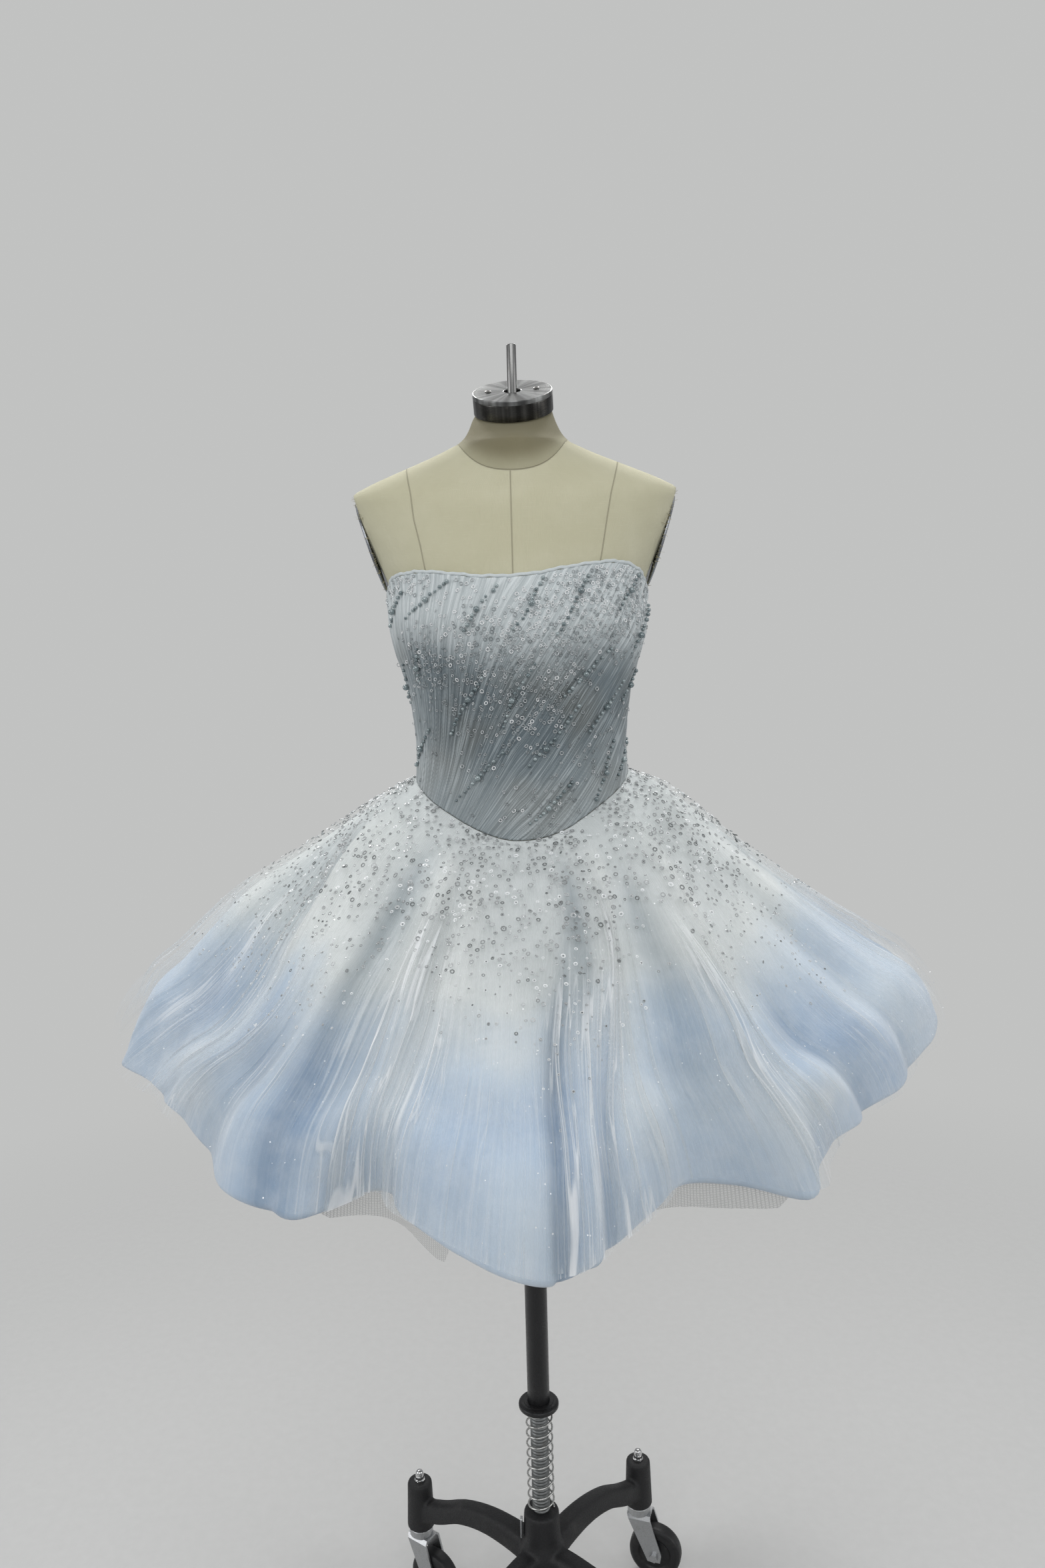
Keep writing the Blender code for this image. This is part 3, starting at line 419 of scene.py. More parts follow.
# ------------------------------------------------------------------ shader helpers
class Look:
    """A material with a Principled shader and short calls for its nodes."""

    def __init__(self, name, rough=0.5, metal=0.0, **sockets):
        self.made = bpy.data.materials.new(name)
        self.made.use_nodes = True
        self.tree = self.made.node_tree
        self.bsdf = self.tree.nodes["Principled BSDF"]
        self.bsdf.inputs["Roughness"].default_value = rough
        self.bsdf.inputs["Metallic"].default_value = metal
        for key, value in sockets.items():
            self.bsdf.inputs[key.replace("_", " ")].default_value = value

    def node(self, kind, ins=None, **props):
        made = self.tree.nodes.new(kind)
        for key, value in props.items():
            setattr(made, key, value)
        for key, value in (ins or {}).items():
            self.put(made.inputs[key], value)
        return made

    def put(self, socket, value):
        if isinstance(value, bpy.types.NodeSocket):
            self.tree.links.new(value, socket)
        elif isinstance(value, tuple) and len(value) == 3 and socket.type == "RGBA":
            socket.default_value = (*value, 1.0)
        else:
            socket.default_value = value

    def set(self, name, value):
        self.put(self.bsdf.inputs[name], value)

    def attribute(self, name, output="Fac"):
        return self.node("ShaderNodeAttribute", attribute_name=name).outputs[output]

    def position(self):
        return self.node("ShaderNodeTexCoord").outputs["Object"]

    def scaled(self, vector, scale):
        made = self.node("ShaderNodeVectorMath", operation="MULTIPLY")
        self.put(made.inputs[0], vector)
        made.inputs[1].default_value = scale if isinstance(scale, tuple) else (scale,) * 3
        return made.outputs[0]

    def noise(self, vector, scale=1.0, detail=3.0, rough=0.55, warp=0.0, output="Fac"):
        made = self.node("ShaderNodeTexNoise", {"Scale": scale, "Detail": detail, "Roughness": rough,
                                                "Distortion": warp})
        self.put(made.inputs["Vector"], vector)
        return made.outputs[output]

    def math(self, operation, a, b=0.5, c=None, clamp=False):
        made = self.node("ShaderNodeMath", operation=operation, use_clamp=clamp)
        self.put(made.inputs[0], a)
        self.put(made.inputs[1], b)
        if c is not None:
            self.put(made.inputs[2], c)
        return made.outputs[0]

    def span(self, value, a, b, low=0.0, high=1.0, kind="SMOOTHSTEP"):
        made = self.node("ShaderNodeMapRange", interpolation_type=kind)
        made.inputs["From Min"].default_value, made.inputs["From Max"].default_value = a, b
        made.inputs["To Min"].default_value, made.inputs["To Max"].default_value = low, high
        self.put(made.inputs["Value"], value)
        return made.outputs[0]

    def mix(self, share, a, b, blend="MIX"):
        made = self.node("ShaderNodeMix", data_type="RGBA", blend_type=blend)
        self.put(made.inputs[0], share)
        self.put(made.inputs[6], a)
        self.put(made.inputs[7], b)
        return made.outputs[2]

    def ramp(self, value, stops):
        made = self.node("ShaderNodeValToRGB")
        while len(made.color_ramp.elements) < len(stops):
            made.color_ramp.elements.new(0.5)
        for element, (at, colour) in zip(made.color_ramp.elements, stops):
            element.position = at
            element.color = (*colour, 1.0) if isinstance(colour, tuple) else (colour, colour, colour, 1.0)
        self.put(made.inputs[0], value)
        return made.outputs[0]

    def bump(self, height, distance, strength=1.0, normal=None):
        made = self.node("ShaderNodeBump", {"Strength": strength, "Distance": distance})
        self.put(made.inputs["Height"], height)
        if normal is not None:
            self.put(made.inputs["Normal"], normal)
        return made.outputs[0]

    def split(self, vector):
        made = self.node("ShaderNodeSeparateXYZ")
        self.put(made.inputs[0], vector)
        return made.outputs

    def join(self, x, y, z=0.0):
        made = self.node("ShaderNodeCombineXYZ")
        for socket, value in zip(made.inputs, (x, y, z)):
            self.put(socket, value)
        return made.outputs[0]


WHITE_TULLE, BLUE_TULLE, DEEP_TULLE = (0.74, 0.77, 0.76), (0.575, 0.675, 0.78), (0.40, 0.52, 0.68)


def look_bodice():
    """Pleated grey-blue tulle: streaks run along the pleats, which the mesh carries as 'pleat'."""
    m = Look("pleated_tulle", rough=0.62, Sheen_Weight=0.22, Sheen_Roughness=0.45,
             Specular_IOR_Level=0.35)
    pl = m.attribute("pleat", "Vector")           # across, along
    relief = m.attribute("relief")                # 0 in the fold's foot, 1 on its crest
    depth = m.attribute("depth")                  # 0 pale, 1 deep: painted shade below the bust, the upper net painted pale as if lit from above
    lines = m.noise(m.scaled(pl, (1100.0, 8.0, 0.0)), 1.0, 3.0, 0.6)
    wide = m.noise(m.scaled(pl, (240.0, 5.0, 0.0)), 1.0, 2.0, 0.5)
    vein = m.math("ABSOLUTE", m.math("SUBTRACT", m.noise(m.scaled(pl, (330.0, 7.0, 0.0)), 1.0, 1.0, 0.5), 0.5))
    patches = m.noise(m.position(), 11.0, 2.0, 0.5)
    # painted shade and light on the pleats: darker in each fold's foot, lighter on its crest
    tone = m.math("ADD", m.math("MULTIPLY", m.span(lines, 0.44, 0.74), 0.40),
                  m.math("MULTIPLY", m.span(relief, 0.30, 1.0), 0.60), clamp=True)
    deep = m.mix(m.span(patches, 0.40, 0.62), (0.132, 0.168, 0.188), (0.140, 0.154, 0.152))
    deep = m.mix(depth, (0.50, 0.55, 0.56), deep)
    crest = m.mix(depth, (0.90, 0.94, 0.945), (0.305, 0.350, 0.368))
    colour = m.mix(tone, deep, crest)
    colour = m.mix(m.span(wide, 0.55, 0.85, 0.0, 0.40), colour, crest)
    colour = m.mix(m.span(vein, 0.012, 0.045, 0.50, 0.0), colour, m.mix(depth, (0.85, 0.90, 0.91), (0.52, 0.575, 0.595)))
    threads = m.noise(m.scaled(pl, (2600.0, 40.0, 0.0)), 1.0, 1.0, 0.5)
    colour = m.mix(m.span(threads, 0.60, 0.80, 0.0, 0.16), colour, (0.80, 0.85, 0.87))
    m.set("Base Color", colour)
    net = m.noise(m.position(), 1500.0, 1.0, 0.5)
    height = m.math("ADD", m.math("MULTIPLY", lines, 1.0), m.math("MULTIPLY", net, 0.15))
    m.set("Normal", m.bump(height, 0.0010, 0.8))
    m.set("Roughness", m.span(lines, 0.2, 0.8, 0.72, 0.50))
    return m.made


def look_skirt(name="ombre_tulle"):
    """The skirt under the veils: soft net, white to blue, with fine streaks down the folds."""
    m = Look(name, rough=0.80, Sheen_Weight=0.45, Sheen_Roughness=0.45, Specular_IOR_Level=0.15)
    flow = m.attribute("flow", "Vector")          # U in degrees, s, height of the folds in mm
    x, s, height = m.split(flow)
    cloud = m.noise(m.scaled(m.position(), (9.0, 9.0, 9.0)), 1.0, 4.0, 0.60)
    small = m.noise(m.position(), 38.0, 4.0, 0.62)
    # the blue: the dye, with patches deepened in the fold valleys as painted shade and paled on the ridges as painted
    # light
    depth = m.math("ADD", m.attribute("dye"), m.math("MULTIPLY", m.math("SUBTRACT", cloud, 0.5), 0.55))
    depth = m.math("MULTIPLY", depth, m.span(m.attribute("dye"), 0.0, 0.12), clamp=True)
    colour = m.ramp(depth, ((0.0, WHITE_TULLE), (0.5, BLUE_TULLE), (1.0, DEEP_TULLE)))
    # painted shade: the net made greyer in the valleys of the folds
    valley = m.span(height, -9.0, 4.0, 1.0, 0.0)
    colour = m.mix(m.math("MULTIPLY", valley, 0.60), colour, (0.47, 0.54, 0.60), "MULTIPLY")
    colour = m.mix(m.span(small, 0.36, 0.70, 0.0, 0.16), colour, (0.90, 0.92, 0.93))
    gathered = m.attribute("bundle")
    streak = m.noise(m.scaled(flow, (2.2, 1.2, 0.0)), 1.0, 4.0, 0.62)
    share = m.math("MULTIPLY", m.span(streak, 0.46, 0.74), m.span(gathered, 0.0, 1.0, 0.06, 0.42, "LINEAR"))
    colour = m.mix(share, colour, (0.90, 0.93, 0.95))
    share = m.math("MULTIPLY", m.span(streak, 0.28, 0.48, 1.0, 0.0), m.span(gathered, 0.0, 1.0, 0.05, 0.40, "LINEAR"))
    colour = m.mix(share, colour, (0.40, 0.47, 0.53))
    m.set("Base Color", colour)
    net = m.noise(m.position(), 900.0, 1.0, 0.5)
    fine = m.noise(m.scaled(flow, (5.0, 3.0, 0.0)), 1.0, 3.0, 0.6)
    soft = m.math("MULTIPLY", m.noise(m.scaled(m.position(), (24.0, 24.0, 16.0)), 1.0, 3.0, 0.6), 3.0)
    height = m.math("ADD", m.math("MULTIPLY", fine, m.span(gathered, 0.0, 1.0, 0.25, 1.0, "LINEAR")),
                    m.math("MULTIPLY", net, 0.15))
    m.set("Normal", m.bump(m.math("ADD", height, soft), 0.0016, 0.45))
    return m.made


def look_veil(name, thin, thick):
    """Sheer tulle: see-through between the folds, whiter along each crease."""
    m = Look(name, rough=0.75, Sheen_Weight=0.35, Sheen_Roughness=0.45, Specular_IOR_Level=0.15)
    flow = m.attribute("flow", "Vector")
    crease = m.attribute("crease")
    gathered = m.attribute("bundle")
    x, s, height = m.split(flow)
    colour = m.mix(m.math("MULTIPLY", m.attribute("dye"), 0.50), (0.77, 0.80, 0.795), (0.58, 0.69, 0.82))
    colour = m.mix(m.span(crease, 0.25, 0.9, 0.0, 0.85), colour, (0.93, 0.955, 0.97))
    streak = m.noise(m.scaled(flow, (3.2, 1.3, 0.0)), 1.0, 4.0, 0.62)
    lines = m.math("ABSOLUTE", m.math("SUBTRACT", m.noise(m.scaled(flow, (0.75, 1.9, 0.0)), 1.0, 1.0, 0.5), 0.5))
    finer = m.math("ABSOLUTE", m.math("SUBTRACT", m.noise(m.scaled(flow, (1.7, 2.6, 5.0)), 1.0, 1.0, 0.5), 0.5))
    drawn = m.math("MAXIMUM", m.span(lines, 0.006, 0.026, 1.0, 0.0), m.span(finer, 0.006, 0.034, 0.45, 0.0))
    drawn = m.math("MULTIPLY", drawn, m.span(gathered, 0.05, 1.0, 0.10, 0.95, "LINEAR"))
    drawn = m.math("MULTIPLY", drawn, m.span(s, 0.14, 0.34))
    cloud = m.noise(m.position(), 10.0, 3.0, 0.6)
    alpha = m.math("ADD", m.span(streak, 0.36, 0.76, thin, thick), m.span(cloud, 0.40, 0.66, -0.04, 0.10))
    # painted shade: the veil made greyer in the valleys of the folds
    valley = m.span(height, -9.0, 4.0, 1.0, 0.0)
    colour = m.mix(m.math("MULTIPLY", valley, 0.42), colour, (0.54, 0.60, 0.65), "MULTIPLY")
    m.set("Base Color", m.mix(drawn, colour, (0.93, 0.95, 0.965)))
    alpha = m.math("ADD", alpha, m.math("MULTIPLY", drawn, 0.55))
    alpha = m.math("ADD", alpha, m.span(crease, 0.15, 1.0, 0.0, 0.58), clamp=True)
    alpha = m.math("MULTIPLY", alpha, m.attribute("edge"), clamp=True)
    m.set("Alpha", alpha)
    m.set("Normal", m.bump(m.math("ADD", streak, drawn), 0.0012, 0.4))
    return m.made


def look_crinoline():
    """Stiff grey net: square holes between the threads."""
    m = Look("crinoline_net", rough=0.6, Specular_IOR_Level=0.3)
    net = m.attribute("net", "Vector")
    x, y, _ = m.split(net)
    bars = []
    for axis in (x, y):
        wave = m.math("ABSOLUTE", m.math("SUBTRACT", m.math("FRACT", m.math("MULTIPLY", axis, 620.0)), 0.5))
        bars.append(m.span(wave, 0.25, 0.42))
    thread = m.math("MAXIMUM", bars[0], bars[1])
    patch = m.noise(m.scaled(net, 14.0), 1.0, 2.0, 0.5)
    m.set("Base Color", m.mix(patch, (0.28, 0.29, 0.28), (0.42, 0.43, 0.42)))
    m.set("Alpha", m.math("ADD", m.math("MULTIPLY", thread, 0.34), m.span(patch, 0.3, 0.7, 0.10, 0.20), clamp=True))
    m.set("Normal", m.bump(thread, 0.0004, 0.6))
    return m.made


def look_linen():
    """Beige linen over the form, with seams given as distances on the mesh."""
    m = Look("linen", rough=0.86, Sheen_Weight=0.15, Sheen_Roughness=0.6, Specular_IOR_Level=0.25)
    cloth = m.attribute("cloth", "Vector")        # arc, height, distance from the nearest seam
    x, y, _ = m.split(cloth)
    neck, princess, shoulder = m.split(m.attribute("seams", "Vector"))
    across, front, up = m.split(m.position())
    above = m.math("MULTIPLY", m.math("GREATER_THAN", neck, 0.0), 0.03)
    in_front = m.math("MULTIPLY", m.math("LESS_THAN", front, 0.0), above)
    low = m.math("MULTIPLY", m.math("LESS_THAN", up, 1.512), 0.03)
    centre = m.math("ADD", m.math("ABSOLUTE", m.math("ADD", across, 0.0045)), in_front)
    seam = m.math("MINIMUM", m.math("ABSOLUTE", neck), centre)
    seam = m.math("MINIMUM", seam, m.math("ADD", m.math("ABSOLUTE", princess), above))
    seam = m.math("MINIMUM", seam, m.math("ADD", m.math("ADD", m.math("ABSOLUTE", shoulder), low), above))
    weave = []
    for axis, pitch in ((x, 1150.0), (y, 1250.0)):
        weave.append(m.math("SINE", m.math("MULTIPLY", axis, pitch * 2 * math.pi)))
    slub = m.noise(m.scaled(cloth, (900.0, 60.0, 0.0)), 1.0, 2.0, 0.6)
    slub2 = m.noise(m.scaled(cloth, (60.0, 900.0, 0.0)), 1.0, 2.0, 0.6)
    stain = m.noise(m.position(), 9.0, 3.0, 0.55)
    colour = m.mix(m.span(stain, 0.35, 0.70), (0.575, 0.55, 0.385), (0.635, 0.61, 0.445))
    colour = m.mix(m.span(slub, 0.55, 0.8, 0.0, 0.22), colour, (0.50, 0.47, 0.34))
    colour = m.mix(m.span(slub2, 0.55, 0.8, 0.0, 0.18), colour, (0.80, 0.78, 0.64))
    groove = m.span(seam, 0.0002, 0.0009, 1.0, 0.0)
    # painted shade: a soft darkening a few millimetres either side of each seam
    painted_seam_shade = m.span(seam, 0.0008, 0.0045, 1.0, 0.0)
    colour = m.mix(m.math("MULTIPLY", groove, 0.55), colour, (0.30, 0.27, 0.17))
    colour = m.mix(m.math("MULTIPLY", painted_seam_shade, 0.10), colour, (0.50, 0.47, 0.33))
    # painted shade: the linen on the neck above its seam darkened as if under the cap, most at the front
    under = m.span(neck, 0.0, 0.024, 0.50, 0.96)
    under = m.math("MULTIPLY", m.math("MULTIPLY", under, m.math("GREATER_THAN", neck, 0.0)), m.span(front, 0.0, 0.04, 1.0, 0.5))
    colour = m.mix(under, colour, (0.35, 0.325, 0.265), "MULTIPLY")
    m.set("Base Color", colour)
    height = m.math("ADD", m.math("MULTIPLY", weave[0], 0.16), m.math("MULTIPLY", weave[1], 0.16))
    height = m.math("ADD", height, m.math("MULTIPLY", slub, 0.8))
    height = m.math("ADD", height, m.math("MULTIPLY", groove, -4.0))
    m.set("Normal", m.bump(height, 0.0004, 0.8))
    return m.made


def look_white_cloth():
    m = Look("edge_binding", rough=0.75, Sheen_Weight=0.3, Sheen_Roughness=0.5, Specular_IOR_Level=0.25)
    fine = m.noise(m.position(), 420.0, 3.0, 0.6)
    m.set("Base Color", m.mix(fine, (0.70, 0.725, 0.715), (0.84, 0.86, 0.85)))
    m.set("Normal", m.bump(fine, 0.0005, 0.6))
    return m.made


def look_fray():
    m = Look("frayed_edge", rough=0.9, Specular_IOR_Level=0.2)
    fine = m.noise(m.position(), 260.0, 3.0, 0.6)
    m.set("Base Color", m.mix(m.span(fine, 0.35, 0.65), (0.22, 0.19, 0.10), (0.52, 0.49, 0.36)))
    return m.made


def look_edge():
    """The folded edge of the bodice, the same net as the pleats in several layers."""
    m = Look("folded_net_edge", rough=0.7, Sheen_Weight=0.2, Sheen_Roughness=0.5, Specular_IOR_Level=0.25)
    fine = m.noise(m.position(), 260.0, 3.0, 0.6)
    m.set("Base Color", m.mix(fine, (0.50, 0.55, 0.56), (0.70, 0.74, 0.745)))
    m.set("Normal", m.bump(fine, 0.0005, 0.6))
    return m.made


def look_sequin(name, dark, light):
    m = Look(name, rough=0.22, metal=0.0, Specular_IOR_Level=0.9, Coat_Weight=0.5, Coat_Roughness=0.1)
    tone = m.attribute("tone")
    grain = m.noise(m.position(), 2600.0, 1.0, 0.5)
    colour = m.mix(m.span(tone, 0.0, 1.0, kind="LINEAR"), dark, light)
    m.set("Base Color", m.mix(m.span(grain, 0.4, 0.7, 0.0, 0.25), colour, (0.80, 0.84, 0.86)))
    m.set("Metallic", m.span(tone, 0.0, 0.9, 0.55, 0.1))
    return m.made


def look_pearl():
    m = Look("grey_pearl", rough=0.12, metal=0.30, Specular_IOR_Level=0.9, Coat_Weight=1.0, Coat_Roughness=0.08)
    tone = m.attribute("tone")
    swirl = m.noise(m.position(), 700.0, 2.0, 0.5)
    colour = m.mix(m.span(tone, 0.0, 1.0, kind="LINEAR"), (0.10, 0.145, 0.16), (0.34, 0.405, 0.415))
    m.set("Base Color", m.mix(m.span(swirl, 0.45, 0.7, 0.0, 0.3), colour, (0.58, 0.61, 0.59)))
    return m.made


def look_steel(name, colour=(0.62, 0.62, 0.61), rough=0.26, radial=None, spots=0.0, along=None, reflection_fan=0.0):
    """Steel, brushed round an axis, along one, or plain; with a fan, wedges of reflection are painted round the axis.
    """
    m = Look(name, rough=rough, metal=1.0)
    position = m.position()
    if radial is not None:
        matrix = radial.inverted()
        turned = m.node("ShaderNodeMapping", vector_type="POINT")
        turned.inputs["Location"].default_value = matrix.to_translation()
        turned.inputs["Rotation"].default_value = matrix.to_euler()
        m.put(turned.inputs["Vector"], position)
        x, y, z = m.split(turned.outputs[0])
        round_ = m.math("ARCTAN2", y, x)
        far = m.math("SQRT", m.math("ADD", m.math("MULTIPLY", x, x), m.math("MULTIPLY", y, y)))
        brush = m.noise(m.join(m.math("MULTIPLY", far, 4200.0), m.math("MULTIPLY", round_, 5.0),
                               m.math("MULTIPLY", z, 3800.0)), 1.0, 3.0, 0.6)
    elif along is not None:
        brush = m.noise(m.scaled(position, along), 1.0, 3.0, 0.6)
    else:
        brush = m.noise(position, 900.0, 3.0, 0.6)
    dirt = m.noise(position, 75.0, 3.0, 0.6)
    base = m.mix(m.span(brush, 0.3, 0.7), tuple(c * 0.78 for c in colour), colour)
    # painted reflection: dark and bright wedges round the axis, standing for the lamps caught in the brushed steel
    if radial is not None and reflection_fan:
        reflection_wedge = m.noise(m.join(m.math("MULTIPLY", m.math("COSINE", round_), reflection_fan), m.math("MULTIPLY", m.math("SINE", round_), reflection_fan)),
                        1.0, 2.0, 0.6)
        base = m.mix(m.span(reflection_wedge, 0.36, 0.66), tuple(c * 0.30 for c in colour), base)
    m.set("Base Color", m.mix(m.span(dirt, 0.55, 0.80, 0.0, 0.45 + spots), base, (0.20, 0.185, 0.165)))
    m.set("Roughness", m.span(brush, 0.25, 0.75, rough - 0.08, rough + 0.16))
    m.set("Normal", m.bump(brush, 0.00006, 0.5))
    return m.made


def look_black(name, colour=(0.012, 0.012, 0.013), rough=0.32, grain=0.0, scale=300.0, wear=0.25):
    m = Look(name, rough=rough, Specular_IOR_Level=0.5)
    position = m.position()
    fine = m.noise(position, scale, 4.0, 0.6)
    dust = m.noise(position, 38.0, 4.0, 0.65)
    base = m.mix(m.span(dust, 0.50, 0.85, 0.0, wear), colour, (0.11, 0.105, 0.10))
    m.set("Base Color", m.mix(m.span(fine, 0.62, 0.85, 0.0, 0.3), base, (0.05, 0.05, 0.052)))
    m.set("Roughness", m.span(fine, 0.2, 0.8, rough, min(0.95, rough + 0.25)))
    if grain:
        m.set("Normal", m.bump(fine, grain, 0.8))
    return m.made


def look_wood():
    m = Look("birch_board", rough=0.55, Specular_IOR_Level=0.35)
    grain = m.noise(m.scaled(m.position(), (160.0, 9.0, 60.0)), 1.0, 4.0, 0.6, 0.6)
    m.set("Base Color", m.mix(m.span(grain, 0.3, 0.7), (0.40, 0.25, 0.13), (0.62, 0.44, 0.26)))
    m.set("Normal", m.bump(grain, 0.0004, 0.5))
    return m.made


def look_rubber():
    m = Look("wheel_rubber", rough=0.42, Specular_IOR_Level=0.45)
    fine = m.noise(m.position(), 700.0, 3.0, 0.6)
    dust = m.noise(m.position(), 55.0, 4.0, 0.7)
    m.set("Base Color", m.mix(m.span(dust, 0.5, 0.8, 0.0, 0.5), (0.010, 0.010, 0.011), (0.060, 0.057, 0.052)))
    m.set("Roughness", m.span(fine, 0.2, 0.8, 0.34, 0.60))
    m.set("Normal", m.bump(fine, 0.00012, 0.5))
    return m.made


# ------------------------------------------------------------------ camera, light, floor
def build_stage():
    scene = bpy.context.scene
    data = bpy.data.cameras.new("camera")
    data.lens, data.sensor_width, data.sensor_fit = 24.96, 36.0, "AUTO"
    data.clip_start, data.clip_end = 0.05, 60.0
    camera = bpy.data.objects.new("camera", data)
    camera.matrix_world = (Matrix.Translation((0.0, -1.297, 1.31))
                           @ Matrix.Rotation(math.radians(90 - 5.8), 4, "X")
                           @ Matrix.Rotation(math.radians(-1.5), 4, "Z"))
    scene.collection.objects.link(camera)
    scene.camera = camera

    for name, size, spot, aim, watts, colour in (
            ("ceiling_left", (0.40, 0.40), (-0.62, 1.15, 2.85), (0.0, -0.05, 1.4), 17.0, (1.0, 0.995, 0.98)),
            ("ceiling_right", (0.40, 0.40), (0.55, 1.20, 2.85), (0.0, -0.05, 1.4), 17.0, (1.0, 0.995, 0.98)),
            ("ceiling_wide", (3.0, 2.0), (0.0, 0.10, 3.10), (0.0, 0.0, 1.0), 13.0, (0.99, 0.995, 1.0)),
            ("ceiling_front", (3.2, 1.4), (0.1, -2.6, 3.0), (0.0, 0.0, 1.0), 33.0, (0.99, 0.995, 1.0)),
            ("ceiling_back", (3.2, 1.4), (-0.1, 2.6, 3.0), (0.0, 0.0, 1.0), 9.0, (1.0, 0.995, 0.98)),
            ("left_wall", (1.8, 1.8), (-2.9, -0.9, 1.7), (0.0, 0.0, 0.85), 24.0, (0.99, 0.995, 1.0)),
            ("right_wall", (1.8, 1.8), (2.9, -0.9, 1.7), (0.0, 0.0, 0.85), 17.0, (0.99, 0.995, 1.0)),
            ("front_fill", (2.6, 1.8), (0.3, -3.6, 1.5), (0.0, 0.0, 0.9), 5.0, (0.98, 0.99, 1.0))):
        light = bpy.data.lights.new(name, "AREA")
        light.shape, light.size, light.size_y = "RECTANGLE", size[0], size[1]
        light.energy, light.color = watts, colour
        lamp = bpy.data.objects.new(name, light)
        lamp.matrix_world = (Matrix.Translation(spot)
                             @ (Vector(spot) - Vector(aim)).to_track_quat("Z", "Y").to_matrix().to_4x4())
        scene.collection.objects.link(lamp)

    world = bpy.data.worlds.new("soft_room")
    scene.world = world
    world.use_nodes = True
    tree = world.node_tree
    back = tree.nodes["Background"]
    path = tree.nodes.new("ShaderNodeLightPath")
    mixed = tree.nodes.new("ShaderNodeMix")
    mixed.data_type = "RGBA"
    tree.links.new(path.outputs["Is Camera Ray"], mixed.inputs[0])
    mixed.inputs[6].default_value = (0.30, 0.305, 0.31, 1.0)
    mixed.inputs[7].default_value = (0.535, 0.54, 0.535, 1.0)
    tree.links.new(mixed.outputs[2], back.inputs["Color"])

    floor_look = Look("pale_floor", rough=0.8, Specular_IOR_Level=0.2)
    speck = floor_look.noise(floor_look.position(), 60.0, 4.0, 0.6)
    floor_look.set("Base Color", floor_look.mix(speck, (0.55, 0.55, 0.545), (0.60, 0.60, 0.595)))
    x, y, _ = floor_look.split(floor_look.position())
    far = floor_look.math("SQRT", floor_look.math("ADD", floor_look.math("MULTIPLY", x, x), floor_look.math("MULTIPLY", y, y)))
    floor_look.set("Alpha", floor_look.span(far, 0.7, 2.4, 1.0, 0.0))
    a = np.linspace(0, 2 * math.pi, 97)[:-1]
    ring = np.stack([2.5 * np.cos(a), 2.5 * np.sin(a), np.zeros(96)], -1)
    floor = mesh_object("floor", np.vstack([ring, [[0, 0, 0]]]),
                        np.stack([np.arange(96), (np.arange(96) + 1) % 96, np.full(96, 96)], -1),
                        material=floor_look.made)
    scene.view_settings.view_transform = "Standard"


# ------------------------------------------------------------------ bodice
def pleat_field(angle, z):
    """Across and along coordinates of the pleats, metres, and the fold number."""
    side = signed(angle)
    x = np.radians(side) * 0.125
    front_x, front_z = x + 0.170, z - 0.930
    turn = np.arctan2(front_x, front_z)
    far = np.hypot(front_x, front_z)
    wander = 0.0035 * np.sin(turn * 23.0 + 1.3) + 0.006 * np.sin(z * 19.0 + turn * 9.0) * 0.5
    across_front, along_front = (turn + wander) * 0.42, far
    # the back pieces: slanted folds that meet at the zip
    bx = np.abs(x)
    lean = math.radians(52)
    across_back = (bx - 0.196) * math.sin(lean) + (z - 1.28) * math.cos(lean) + 0.31
    across_back = across_back + 0.0016 * np.sin(bx * 60.0 + z * 31.0)
    along_back = (z - 1.0) * math.sin(lean) - bx * math.cos(lean)
    back = np.abs(side) > 90.0
    return np.where(back, across_back, across_front), np.where(back, along_back, along_front)


def pleat_relief(across, along):
    """0 to 1: main folds about 9 mm apart with a steep under-side, and finer gathers."""
    drift = 0.35 * np.sin(across * 61.0 + 0.7) + 0.25 * np.sin(across * 143.0)
    phase = across / 0.0066 + drift + 0.12 * np.sin(along * 37.0 + across * 300.0)
    wave = phase - np.floor(phase)
    fold = np.where(wave < 0.76, (wave / 0.76) ** 1.35, ((1 - wave) / 0.24) ** 0.8)
    depth = 0.55 + 0.45 * np.sin(np.floor(phase) * 2.4 + 0.5 * np.sin(along * 21.0 + np.floor(phase)))
    fine = across / 0.0027 + 0.4 * np.sin(along * 55.0)
    gather = 0.5 + 0.5 * np.sin(fine * 2 * math.pi)
    return 0.78 * fold * (0.45 + 0.55 * depth) + 0.22 * gather


def bodice_surface(angle, z, raise_by=0.0):
    across, along = pleat_field(angle, z)
    relief = pleat_relief(across, along)
    # the fold depth dies out at the side seams and the zip
    side = np.abs(signed(angle))
    near = np.minimum(np.abs(side - 90.0), 180.0 - side) / 1.6
    fade = np.clip(near, 0.0, 1.0)
    out = EASE + BODICE_WALL + 0.0006 + 0.0021 * relief * (0.25 + 0.75 * fade) + raise_by
    return form_point(angle, z, out), relief, across, along


